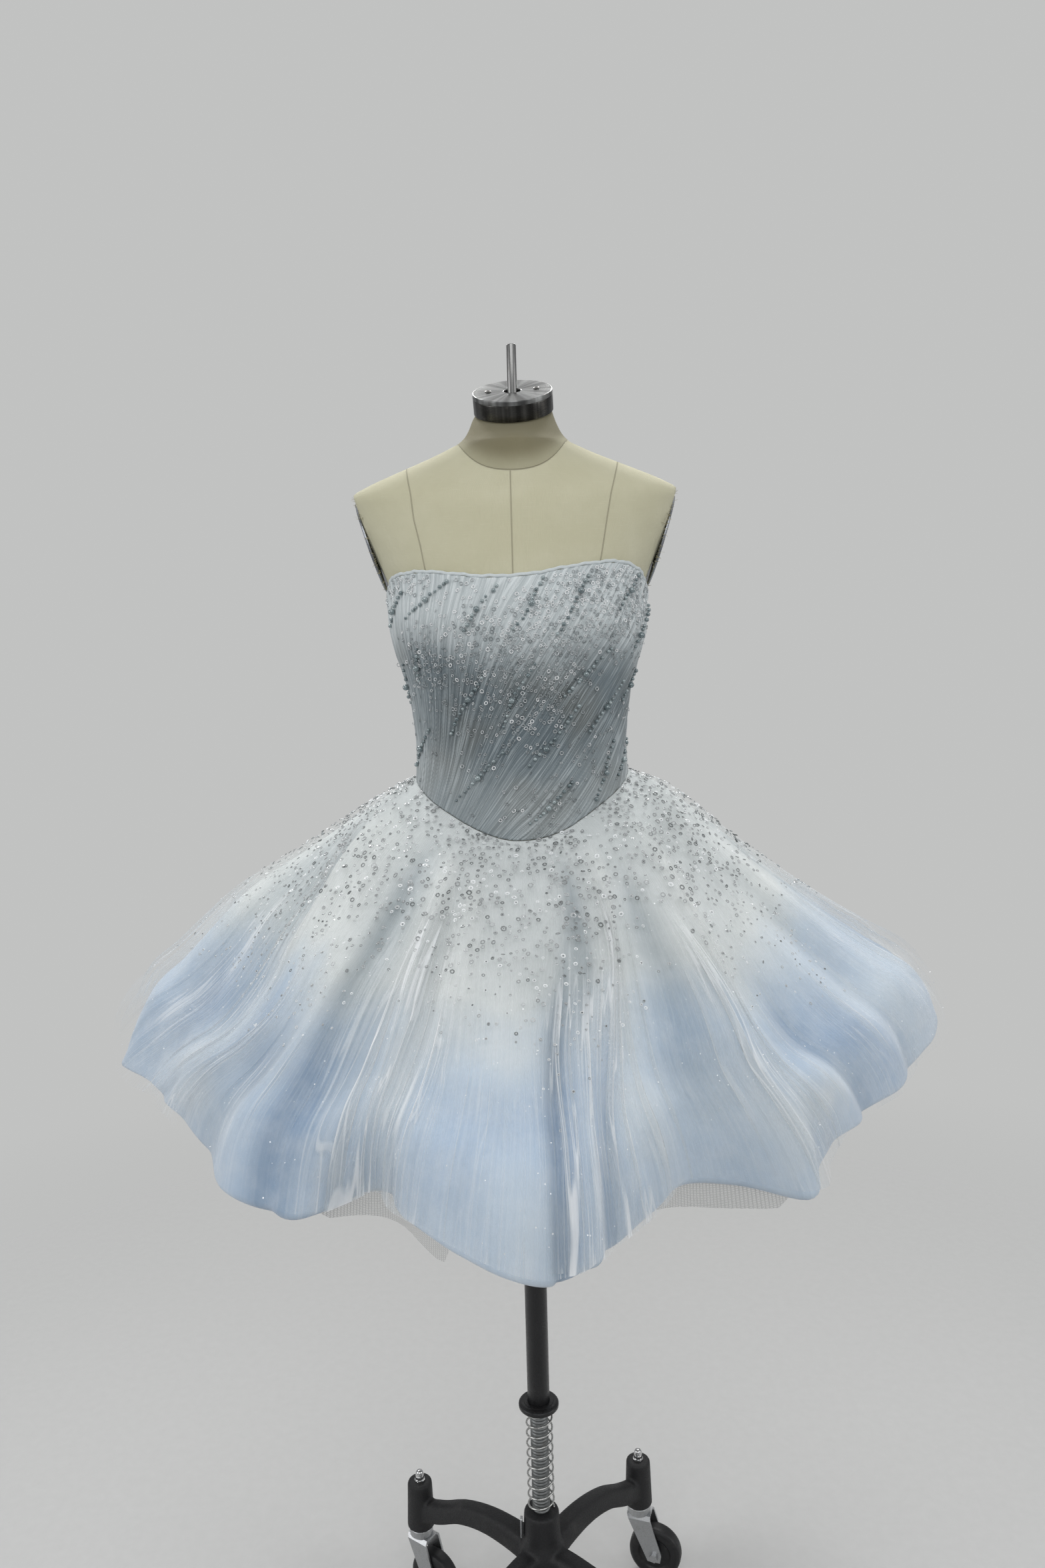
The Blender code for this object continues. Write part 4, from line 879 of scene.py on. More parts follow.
def build_bodice(material):
    made = []
    for name, start, end, columns, rows, node in (
            ("bodice_front_tulle", -89.9, 89.9, 372, 150, "bodice_front"),
            ("bodice_back_right_tulle", 90.1, 179.86, 150, 100, "bodice_back_right"),
            ("bodice_back_left_tulle", -179.86, -90.1, 150, 100, "bodice_back_left")):
        angle = np.linspace(start, end, columns)[None, :]
        v = np.linspace(0, 1, rows)[:, None]
        # the last rows turn in under the edge, so the sheet is not a bare cut
        z = top_edge(angle) + (waist_seam(angle) - 0.0012 - top_edge(angle)) * v
        points, relief, across, along = bodice_surface(angle, z)
        rim = form_point(angle, z[:1] + 0.0003, EASE)
        foot = form_point(angle, z[-1:] - 0.0004, EASE)
        points = np.concatenate([rim, points, foot])
        pad = lambda f: np.concatenate([f[:1], f, f[-1:]])
        pleat = np.stack([pad(across), pad(along), np.zeros_like(pad(across))], -1)
        v = np.broadcast_to(v, relief.shape)
        side = signed(np.broadcast_to(angle, relief.shape))
        # painted shade: pale at the top edge, deep below the bust, easing towards the waist and the sides
        deep = (smooth(0.17, 0.45, v + 0.0010 * np.clip(side, -60, 60) * -1.0) * (1 - 0.30 * smooth(0.62, 0.95, v))
                * (1 - 0.42 * smooth(40, 80, -side)) * (1 - 0.14 * smooth(60, 85, side)))
        piece = grid_object(name, points, {"pleat": pleat, "relief": pad(relief), "depth": pad(deep)}, material=material)
        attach(piece, "form")
        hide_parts(node)
        made.append(piece)
    return made


def build_binding(material):
    """The folded white edge, a flat tube that leans a little and waves with the pleats."""
    columns = 420
    angle = np.linspace(-179.6, 179.6, columns)
    lift = 0.0004 * np.sin(np.radians(angle) * 31) + 0.0003 * np.sin(np.radians(angle) * 73 + 1)
    rows = []
    for out, up in ((0.0000, 0.0003), (0.0008, 0.0001), (0.0014, 0.0007), (0.0015, 0.0022), (0.0011, 0.0034),
                    (0.0003, 0.0038), (-0.0004, 0.0034), (-0.0006, 0.0018), (-0.0004, 0.0005)):
        rows.append(form_point(angle, top_edge(angle) + up + lift, EASE + BODICE_WALL * 0.7 + out + 0.0010
                               + 0.0003 * np.sin(np.radians(angle) * 57)))
    piece = grid_object("top_edge_binding", np.array(rows), material=material)
    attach(piece, "form")
    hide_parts("neck_binding")
    return piece


# the strings of pearls on the front: start angle, height, end angle, height, share of the large one
STRINGS = (
    (-56, 1.403, -75, 1.367, 0.55), (-26, 1.413, -53, 1.374, 0.51), (-7, 1.405, -21, 1.358, 0.47),
    (9, 1.412, -1.5, 1.357, 0.46), (28, 1.415, 14, 1.351, 0.24), (58.5, 1.416, 45.5, 1.378, 0.48),
    (77, 1.385, 61, 1.331, 0.62), (-49, 1.340, -56, 1.304, 0.67), (-69, 1.324, -79, 1.279, 0.54),
    (-16, 1.306, -36, 1.245, 0.35), (5, 1.320, -8, 1.251, 0.56), (42.5, 1.335, 19, 1.284, 0.54),
    (78, 1.310, 63, 1.278, 0.50), (59.5, 1.299, 35, 1.244, 0.53), (28, 1.273, 3.5, 1.209, 0.72),
    (-7.5, 1.224, -32.5, 1.171, 0.51), (56, 1.231, 36.5, 1.167, 0.52), (79.5, 1.231, 59.5, 1.192, 0.59),
    (24, 1.189, 1.5, 1.145, 0.58), (-54, 1.250, -77, 1.206, 0.55),
)
BACK_STRINGS = (
    (100, 1.372, 112, 1.338, 0.5), (128, 1.380, 141, 1.342, 0.4), (158, 1.371, 170, 1.330, 0.6),
    (97, 1.296, 110, 1.258, 0.5), (124, 1.312, 138, 1.270, 0.55), (150, 1.296, 163, 1.256, 0.45),
    (112, 1.240, 127, 1.206, 0.5), (140, 1.236, 154, 1.206, 0.5),
)


def build_pearls(material):
    rng = np.random.default_rng(11)
    strings = [(s, 1) for s in STRINGS]
    strings += [(s, 1) for s in BACK_STRINGS] + [((-a, z, -b, w, k), 1) for a, z, b, w, k in BACK_STRINGS]
    for name, chosen in (("bodice_pearls_front", strings[:20]), ("bodice_pearls_back", strings[20:])):
        places, sizes, normals = [], [], []
        for (a0, z0, a1, z1, big), _ in chosen:
            p0, p1 = form_point(a0, z0), form_point(a1, z1)
            length = float(np.linalg.norm(p1 - p0))
            n = int(np.clip(round(length / 0.0062), 6, 12))
            t = (np.arange(n) + rng.uniform(-0.22, 0.22, n)) / (n - 1)
            t = np.clip(t, 0, 1)
            r = rng.choice([0.0017, 0.0020, 0.0023, 0.0026], n, p=[0.2, 0.35, 0.3, 0.15])
            k = int(round(big * (n - 1)))
            r[k] = rng.uniform(0.0035, 0.0040)
            for w in (k - 1, k + 1):
                if 0 <= w < n:
                    t[w] += (1 if w > k else -1) * 0.0012 / max(length, 0.01)
                    r[w] = 0.0022
            sway = 0.0011 * np.sin(t * 6.0 + rng.uniform(0, 6)) + rng.uniform(-0.0006, 0.0006, n)
            angle = a0 + (a1 - a0) * t + np.degrees(sway / 0.12)
            z = z0 + (z1 - z0) * t + rng.uniform(-0.0005, 0.0005, n)
            spot, relief, _, _ = bodice_surface(angle, z)
            out = spot - np.array([0, 0, 1]) * spot[:, 2:3]
            out[:, 0] /= 1.5
            out[:, 2] = 0
            out /= np.linalg.norm(out, axis=1, keepdims=True)
            places.append(spot + out * (r * 0.82)[:, None])
            sizes.append(r)
            normals.append(out)
            # small seed beads beside the large pearl
            extra = rng.integers(1, 4)
            for _ in range(extra):
                kk = int(np.clip(k + rng.integers(-2, 3), 0, n - 1))
                side = rng.choice([-1, 1])
                aa = angle[kk] + side * math.degrees((r[kk] + 0.0013) / 0.125)
                zz = z[kk] + rng.uniform(-0.001, 0.001)
                s1, _, _, _ = bodice_surface(np.array([aa]), np.array([zz]))
                o1 = out[kk:kk + 1]
                places.append(s1 + o1 * 0.0008)
                sizes.append(np.array([rng.uniform(0.0008, 0.0012)]))
                normals.append(o1)
        places, sizes, normals = np.concatenate(places), np.concatenate(sizes), np.concatenate(normals)
        frames = axes_from(normals, rng.uniform(0, 6.28, len(places)))
        tone = rng.uniform(0, 1, len(places)) ** 1.4
        piece = scatter(name, ball(7, 10), places, frames, sizes, {"tone": tone}, material)
        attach(piece, "form")


def thin_out(points, gap, rng):
    """Indices of points that keep at least gap between them."""
    cell = {}
    keep = []
    for i in range(len(points)):
        p = points[i]
        key = tuple(np.floor(p / gap).astype(int))
        clash = False
        for dx in (-1, 0, 1):
            for dy in (-1, 0, 1):
                for dz in (-1, 0, 1):
                    for j in cell.get((key[0] + dx, key[1] + dy, key[2] + dz), ()):
                        if ((points[j] - p) ** 2).sum() < gap * gap:
                            clash = True
                            break
                    if clash:
                        break
                if clash:
                    break
            if clash:
                break
        if not clash:
            cell.setdefault(key, []).append(i)
            keep.append(i)
    return np.array(keep, int)


def build_bodice_sequins(material):
    """Clear rings, thick in the upper middle and right, thinner towards the waist and sides."""
    rng = np.random.default_rng(5)
    for name, lo, hi, count in (("bodice_rings_front", -86, 86, 15000), ("bodice_rings_back", 94, 266, 1500)):
        angle = rng.uniform(lo, hi, count)
        v = rng.uniform(0.01, 0.98, count)
        z = top_edge(angle) + (waist_seam(angle) - top_edge(angle)) * v
        if "front" in name:
            hills = ((34, 0.10, 24, 0.17, 1.0), (10, 0.20, 22, 0.15, 0.8), (-10, 0.30, 24, 0.13, 0.70),
                     (-48, 0.40, 12, 0.12, 0.55), (20, 0.38, 14, 0.10, 0.45), (8, 0.53, 13, 0.12, 0.60),
                     (-55, 0.02, 25, 0.05, 0.5), (58, 0.10, 14, 0.16, 0.7), (38, 0.78, 9, 0.07, 0.20),
                     (12, 0.88, 14, 0.05, 0.25), (-20, 0.50, 18, 0.15, 0.15), (0, 0.5, 90, 0.9, 0.025))
            want = sum(k * np.exp(-((angle - a) / wa) ** 2 - ((v - b) / wb) ** 2) for a, b, wa, wb, k in hills)
        else:
            want = 0.45 * np.exp(-(v / 0.45) ** 2) + 0.06
        pick = rng.uniform(0, 1, count) < np.clip(want, 0, 1) * 0.62
        angle, z = angle[pick], z[pick]
        spot, relief, _, _ = bodice_surface(angle, z, 0.0004)
        keep = thin_out(spot, 0.0033, rng)
        angle, z, spot = angle[keep], z[keep], spot[keep]
        nearby, _, _, _ = bodice_surface(angle + 0.6, z)
        below, _, _, _ = bodice_surface(angle, z - 0.0015)
        here, _, _, _ = bodice_surface(angle, z)
        normal = np.cross(below - here, nearby - here)
        normal /= np.linalg.norm(normal, axis=1, keepdims=True)
        n = len(angle)
        frames = axes_from(normal, rng.uniform(0, 6.28, n), rng.uniform(-0.5, 0.5, n))
        sizes = rng.uniform(0.0016, 0.0026, n)
        tone = np.where(rng.uniform(0, 1, n) < 0.42, rng.uniform(0.0, 0.35, n), rng.uniform(0.7, 1.0, n))
        # painted shade: most rings below the bust darkened, like the net under them
        share = (top_edge(angle) - z) / (top_edge(angle) - waist_seam(angle))
        tone = tone * (1 - 0.62 * smooth(0.14, 0.34, share) * (rng.uniform(0, 1, n) < 0.80))
        piece = scatter(name, washer(8, 0.60, 0.20), spot + normal * 0.0006, frames, sizes, {"tone": tone}, material)
        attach(piece, "form")


# ------------------------------------------------------------------ skirt
# creases of the outer veil on the front, placed one by one:
# fold line U, width in degrees, overlap, height in mm, share where it starts, full from, whiteness
FRONT_CREASES = (
    (-86.0, 3.4, 0.30, 4.0, 0.25, 0.60, 0.5), (-77.5, 2.6, 0.34, 3.0, 0.15, 0.45, 0.6),
    (-70.0, 2.2, 0.30, 3.0, 0.12, 0.35, 0.8), (-66.0, 2.6, 0.38, 4.0, 0.10, 0.35, 1.0),
    (-62.0, 2.0, 0.30, 2.0, 0.20, 0.50, 0.9), (-56.5, 2.4, 0.36, 3.0, 0.30, 0.60, 0.7),
    (-50.0, 2.8, 0.42, 4.0, 0.35, 0.62, 1.0), (-46.5, 1.8, 0.30, 2.0, 0.45, 0.70, 0.9),
    (-42.5, 2.6, 0.36, 3.0, 0.40, 0.70, 0.6), (-33.0, 2.0, 0.30, 2.5, 0.55, 0.75, 0.9),
    (-28.5, 1.8, 0.25, 2.0, 0.20, 0.50, 0.4), (-24.6, 2.6, 0.46, 5.0, 0.10, 0.32, 1.0),
    (-22.4, 1.6, 0.34, 3.0, 0.18, 0.40, 1.0), (-20.0, 2.2, 0.40, 4.0, 0.22, 0.45, 0.9),
    (-17.2, 1.8, 0.36, 3.0, 0.30, 0.55, 1.0), (-14.8, 1.5, 0.30, 2.0, 0.40, 0.60, 0.8),
    (-10.2, 1.4, 0.26, 1.5, 0.25, 0.60, 0.5), (-7.0, 1.3, 0.26, 1.5, 0.35, 0.70, 0.6),
    (-2.0, 1.5, 0.24, 1.5, 0.45, 0.75, 0.4), (3.6, 2.2, 0.44, 4.0, 0.30, 0.60, 1.0),
    (5.6, 1.6, 0.36, 3.0, 0.40, 0.60, 0.9), (8.6, 1.8, 0.36, 3.0, 0.20, 0.45, 0.8),
    (11.4, 1.6, 0.32, 2.5, 0.30, 0.50, 0.9), (14.2, 2.4, 0.46, 5.0, 0.12, 0.35, 1.0),
    (17.2, 1.8, 0.34, 3.0, 0.22, 0.45, 0.9), (20.4, 2.6, 0.40, 4.0, 0.20, 0.45, 0.7),
    (24.4, 1.8, 0.28, 2.5, 0.15, 0.45, 0.6), (30.5, 1.5, 0.26, 2.0, 0.20, 0.55, 0.6),
    (33.2, 2.8, 0.44, 5.0, 0.25, 0.52, 1.0), (37.2, 1.8, 0.30, 2.5, 0.25, 0.50, 0.7),
    (41.0, 2.4, 0.38, 4.0, 0.20, 0.50, 0.9), (46.0, 2.2, 0.30, 3.0, 0.35, 0.65, 0.7),
    (51.5, 1.8, 0.28, 2.5, 0.45, 0.75, 0.5), (60.0, 3.0, 0.36, 4.0, 0.50, 0.80, 0.8),
    (69.0, 2.2, 0.30, 3.0, 0.40, 0.75, 0.4), (79.0, 2.6, 0.34, 4.0, 0.35, 0.70, 0.6),
)


def more_creases(rng, start, end, step):
    """The hidden sides' creases: the same make, uneven in length, depth and spacing."""
    out, u = [], start + step * 0.5
    while u < end:
        out.append((u, rng.uniform(1.6, 3.2), rng.uniform(0.26, 0.44), rng.uniform(1.5, 5.0),
                    rng.uniform(0.10, 0.45), 0.0, rng.uniform(0.4, 1.0)))
        first = out[-1][4]
        out[-1] = out[-1][:5] + (first + rng.uniform(0.18, 0.34), out[-1][6])
        u += step * rng.uniform(0.55, 1.6)
    return out


def crease_effect(u, s, creases, gain=1.0):
    """Sideways shift in degrees, lift in metres and whiteness of the veil at (u, s)."""
    u, s = np.broadcast_arrays(u, s)
    shift, lift, white = np.zeros(u.shape), np.zeros(u.shape), np.zeros(u.shape)
    for u0, wide, over, high, begins, full, bright in creases:
        t = (signed(u - u0)) / wide
        near = np.abs(t) < 0.5
        t = np.where(near, t, 0.5)
        env = smooth(begins, full, s)
        wave = np.sin(2 * math.pi * t) * np.cos(math.pi * t)
        shift -= np.where(near, wide * over * env * wave * gain, 0)
        lift += np.where(near, high * 0.001 * env * np.exp(-((t + 0.16) / 0.15) ** 2), 0)
        lift -= np.where(near, 0.0006 * env * np.exp(-((t - 0.2) / 0.12) ** 2), 0)
        turns = np.exp(-((np.abs(t) - 0.17) / 0.045) ** 2)
        band = 0.45 * np.exp(-(t / 0.16) ** 2)
        white += np.where(near, bright * env * (turns + band), 0)
    return shift, lift, np.clip(white, 0, 1.3)


def columns_for(creases, plain, inside):
    """Columns of the mesh round the skirt: close together inside each crease."""
    u = np.arange(-180, 180, 0.02)
    density = np.full(len(u), 1.0 / plain)
    for u0, wide, *_ in creases:
        density = np.where(np.abs(signed(u - u0)) < wide * 0.5, np.maximum(density, inside / wide), density)
    total = np.concatenate([[0], np.cumsum(density) * 0.02])
    count = int(round(total[-1]))
    edges = np.concatenate([u, [180.0]])
    return np.interp(np.arange(count) * total[-1] / count, total, edges)


def undulation(u, s, rng_seed, size):
    """Soft waves down the fold lines, uneven."""
    rng = np.random.default_rng(rng_seed)
    out = np.zeros(np.broadcast(u, s).shape)
    for k in range(9):
        n = rng.integers(9, 44)
        out = out + (rng.uniform(0.4, 1.0) / (1 + n / 22.0)
                     * np.sin(np.radians(u) * n + rng.uniform(0, 6.28) + rng.uniform(-2.0, 2.0) * s))
    return out * size


# the large folds all the layers share: fold line U, half width in degrees, height in mm (minus for a valley),
# where it starts, where it is full, where it has gone again
FOLDS = (
    (-84.0, 6.0, -3.0, 0.10, 0.40, 1.30), (-73.0, 5.0, -6.5, 0.08, 0.30, 0.95), (-66.0, 4.0, 3.0, 0.15, 0.40, 1.20),
    (-58.0, 5.5, 5.0, 0.04, 0.25, 1.30), (-47.5, 4.5, 3.5, 0.05, 0.25, 0.80), (-43.0, 4.0, -4.5, 0.55, 0.80, 1.40),
    (-37.0, 3.6, 4.5, 0.40, 0.75, 1.40), (-30.5, 3.6, -8.0, 0.02, 0.35, 1.40), (-23.5, 2.4, 6.0, 0.06, 0.30, 1.40),
    (-19.0, 1.8, -2.5, 0.30, 0.60, 1.40), (-15.0, 3.0, 4.0, 0.10, 0.35, 1.40), (-5.0, 6.5, 3.0, 0.45, 0.80, 1.40),
    (3.6, 1.9, -7.0, 0.20, 0.60, 1.40), (7.6, 2.4, -6.0, 0.04, 0.25, 0.66), (10.5, 2.4, 4.5, 0.35, 0.70, 1.40),
    (15.0, 1.6, -3.5, 0.30, 0.60, 1.40), (17.5, 2.6, 5.0, 0.04, 0.25, 0.85), (21.5, 3.0, 3.5, 0.60, 0.85, 1.40),
    (27.0, 3.0, -4.5, 0.10, 0.40, 0.98), (33.5, 2.4, 6.0, 0.30, 0.60, 1.30), (39.0, 3.4, -1.4, 0.35, 0.65, 1.10),
    (43.0, 3.6, 4.0, 0.05, 0.30, 0.70), (49.0, 4.0, 5.5, 0.72, 0.88, 1.30), (54.0, 4.0, -5.0, 0.50, 0.75, 1.40),
    (63.0, 6.0, 4.5, 0.35, 0.65, 1.30), (71.0, 4.0, -3.5, 0.30, 0.60, 1.30), (80.0, 5.0, 3.5, 0.20, 0.50, 1.30),
    (93.0, 5.0, -5.5, 0.10, 0.40, 1.30), (102.0, 4.0, 5.0, 0.10, 0.45, 1.30), (112.0, 4.5, -4.0, 0.30, 0.60, 1.30),
    (121.0, 5.0, 6.0, 0.06, 0.35, 1.30), (130.0, 3.5, -7.0, 0.08, 0.40, 1.30), (137.5, 3.2, 4.5, 0.20, 0.50, 1.30),
    (147.0, 4.0, -5.0, 0.35, 0.65, 1.30), (155.0, 4.5, 5.0, 0.06, 0.30, 1.30), (164.0, 3.4, -6.5, 0.10, 0.40, 1.30),
    (171.0, 3.0, 4.5, 0.25, 0.55, 1.30), (179.0, 3.4, -5.5, 0.05, 0.30, 1.30), (-172.0, 3.4, 5.0, 0.15, 0.40, 1.30),
    (-163.0, 4.4, -4.0, 0.35, 0.65, 1.30), (-153.0, 4.6, 6.0, 0.05, 0.30, 1.30), (-144.0, 3.4, -7.0, 0.10, 0.35, 1.30),
    (-136.0, 3.6, 4.0, 0.25, 0.60, 1.30), (-126.0, 4.4, -4.5, 0.30, 0.60, 1.30), (-117.0, 4.8, 5.5, 0.06, 0.30, 1.30),
    (-107.0, 4.0, -6.0, 0.10, 0.40, 1.30), (-97.0, 4.6, 4.5, 0.15, 0.45, 1.30),
)


def folds(u, s):
    """Height of the shared folds, metres."""
    u, s = np.broadcast_arrays(np.asarray(u, float), np.asarray(s, float))
    total = np.zeros(u.shape)
    for u0, half, high, begins, full, gone in FOLDS:
        off = signed(u - u0 + 1.1 * np.sin(s * 5.0 + u0)) / half
        shape = np.exp(-(off * off)) if high > 0 else np.exp(-np.abs(off) ** 1.3 * 1.3)
        total = total + 0.0018 * high * shape * smooth(begins, full, s) * (1 - smooth(gone - 0.25, gone, s))
    return total


def side_puff(u, s):
    """How far the veils stand off at the two sides, where they float free of the layer below."""
    side = np.abs(np.sin(np.radians(flow_angle(u, s)))) ** 3
    uneven = 0.75 + 0.35 * np.sin(np.radians(u) * 17 + 4.0 * s) + 0.20 * np.sin(np.radians(u) * 41 + 1.0 - 5.0 * s)
    return side * smooth(0.30, 0.85, s) * np.clip(uneven, 0.25, 1.3)


def base_lift(u, s):
    return (-0.0050 - 0.0045 * smooth(0.1, 0.8, s) + folds(u, s) + undulation(u, s, 3, 0.0009) * smooth(0.05, 0.6, s)
            + undulation(u * 2.0, s, 8, 0.0003) * smooth(0.0, 0.2, s))


# where the blue is deep or pale, partly the dye and partly painted shade in the fold valleys and painted light on the
# ridges: fold line U, s, half width in degrees, half height, amount
DYE_AND_FOLD_SHADE = (
    (-30, 0.80, 3.6, 0.24, 0.75), (4.6, 0.84, 1.8, 0.25, 0.75), (52, 0.76, 9, 0.10, 0.35), (38, 0.68, 6, 0.09, 0.15), (33, 0.90, 9, 0.14, -0.35), (41, 0.86, 7, 0.11, -0.30),
    (61, 0.86, 7, 0.12, 0.50), (-58, 0.70, 5, 0.15, 0.50), (-44, 0.74, 5, 0.10, 0.45), (13.5, 0.80, 2.2, 0.16, 0.40),
    (-11, 0.82, 4, 0.16, 0.30), (-80, 0.74, 6, 0.16, 0.45), (-90, 0.60, 6, 0.14, 0.40), (76, 0.62, 8, 0.12, 0.35),
    (0, 0.74, 9, 0.09, 0.22), (-20, 0.74, 3.6, 0.26, -0.55), (20, 0.76, 4.5, 0.22, -0.45), (-50, 0.92, 10, 0.09, -0.50),
    (75, 0.84, 8, 0.18, -0.40), (48, 0.90, 9, 0.05, -0.50), (-5, 0.62, 8, 0.06, -0.30), (-70, 0.84, 5, 0.16, -0.40),
    (-2, 0.93, 5, 0.07, -0.30), (102, 0.76, 8, 0.16, 0.50), (116, 0.86, 7, 0.12, -0.45), (131, 0.74, 6, 0.18, 0.60),
    (150, 0.80, 8, 0.14, -0.35), (163, 0.76, 6, 0.20, 0.55), (180, 0.86, 7, 0.14, -0.40), (-163, 0.72, 7, 0.14, 0.45),
    (-146, 0.80, 6, 0.18, 0.65), (-130, 0.88, 8, 0.10, -0.45), (-112, 0.74, 7, 0.16, 0.50),
)


def dye(u, s):
    """Depth of the blue, 0 for undyed: the ombre dye, with patches, many deepened in the fold valleys as painted shade
    and paled on the ridges as painted light.
    """
    u, s = np.broadcast_arrays(np.asarray(u, float), np.asarray(s, float))
    edge = 0.030 * np.sin(np.radians(u) * 5 + 0.5) + 0.020 * np.sin(np.radians(u) * 13) + 0.012 * np.sin(np.radians(u) * 29)
    total = 0.56 * smooth(0.42, 0.72, s + edge) + 0.08 * smooth(0.75, 1.0, s)
    gate = smooth(0.42, 0.62, s + edge)
    for u0, s0, wide, high, amount in DYE_AND_FOLD_SHADE:
        total = total + gate * amount * (0.75 if amount > 0 else 0.55) * np.exp(-(signed(u - u0) / wide) ** 2 - ((s - s0) / high) ** 2)
    return np.clip(total, 0, 1.15)


# where the net is gathered into fine white lines: fold line U, half width, start, full, amount
BUNDLES = (
    (-22.5, 4.2, 0.16, 0.36, 1.0), (-15.0, 3.0, 0.28, 0.55, 0.7), (4.2, 2.6, 0.28, 0.55, 0.9), (9.5, 2.6, 0.34, 0.60, 0.7),
    (15.5, 3.8, 0.12, 0.36, 1.0), (33.5, 2.6, 0.24, 0.48, 0.8), (41.0, 3.0, 0.22, 0.50, 0.5), (-49.0, 4.0, 0.36, 0.62, 0.9),
    (-64.0, 5.0, 0.12, 0.36, 0.8), (-79.0, 5.0, 0.20, 0.50, 0.7), (60.0, 4.0, 0.55, 0.80, 0.5), (-36.0, 3.0, 0.62, 0.80, 0.5),
    (80.0, 5.0, 0.35, 0.70, 0.6), (-5.0, 5.0, 0.55, 0.80, 0.3), (101.0, 4.0, 0.16, 0.44, 0.9), (122.0, 4.0, 0.12, 0.36, 0.9),
    (138.0, 3.0, 0.30, 0.58, 0.7), (156.0, 4.4, 0.12, 0.36, 1.0), (172.0, 3.0, 0.30, 0.56, 0.7), (-171.0, 3.4, 0.20, 0.46, 0.8),
    (-153.0, 4.4, 0.14, 0.38, 1.0), (-134.0, 3.4, 0.30, 0.60, 0.6), (-117.0, 4.4, 0.12, 0.40, 0.9), (-97.0, 4.4, 0.18, 0.46, 0.8),
)


def bundle(u, s):
    u, s = np.broadcast_arrays(np.asarray(u, float), np.asarray(s, float))
    total = np.zeros(u.shape)
    for u0, half, begins, full, amount in BUNDLES:
        total = total + amount * np.exp(-(signed(u - u0) / half) ** 2) * smooth(begins, full, s)
    return np.clip(total, 0, 1.2)


VEIL_END = (
    (-172, 0.99), (-160, 0.93), (-150, 0.99), (-135, 1.00), (-120, 0.94), (-108, 0.99), (-95, 0.99), (-84, 0.97),
    (-72, 0.96), (-64, 0.99), (-55, 0.985), (-45, 0.96), (-36, 0.98), (-31, 0.95), (-26, 1.00), (-21, 1.01),
    (-10, 0.99), (0, 1.005), (5, 1.01), (12, 0.985), (18, 1.005), (26, 0.99), (33, 0.985), (41, 0.995), (52, 0.97),
    (64, 0.985), (78, 0.99), (90, 1.00), (105, 0.97), (120, 0.99), (135, 1.00), (150, 0.94), (165, 0.99),
)
OVER_END = (
    (-175, 0.90), (-158, 0.98), (-140, 0.93), (-122, 0.98), (-108, 0.91), (-95, 0.99), (-84, 0.96),
    (-76, 1.01), (-66, 1.005), (-57, 0.975), (-50, 0.99), (-44, 0.965), (-38, 0.97), (-33, 0.93), (-29, 0.955),
    (-24, 1.005), (-18, 1.00), (-12, 0.965), (-5, 0.945), (1, 0.985), (5, 1.005), (10, 0.98), (15, 1.00), (21, 0.99),
    (27, 0.965), (32, 0.945), (37, 0.975), (43, 0.955), (49, 0.965), (56, 0.99), (65, 0.955), (76, 0.98),
    (92, 0.95), (104, 0.99), (120, 0.93), (138, 0.985), (152, 0.92), (168, 0.98),
)
VEIL_END_READ, OVER_END_READ = curve(VEIL_END, 1, 360.0), curve(OVER_END, 1, 360.0)


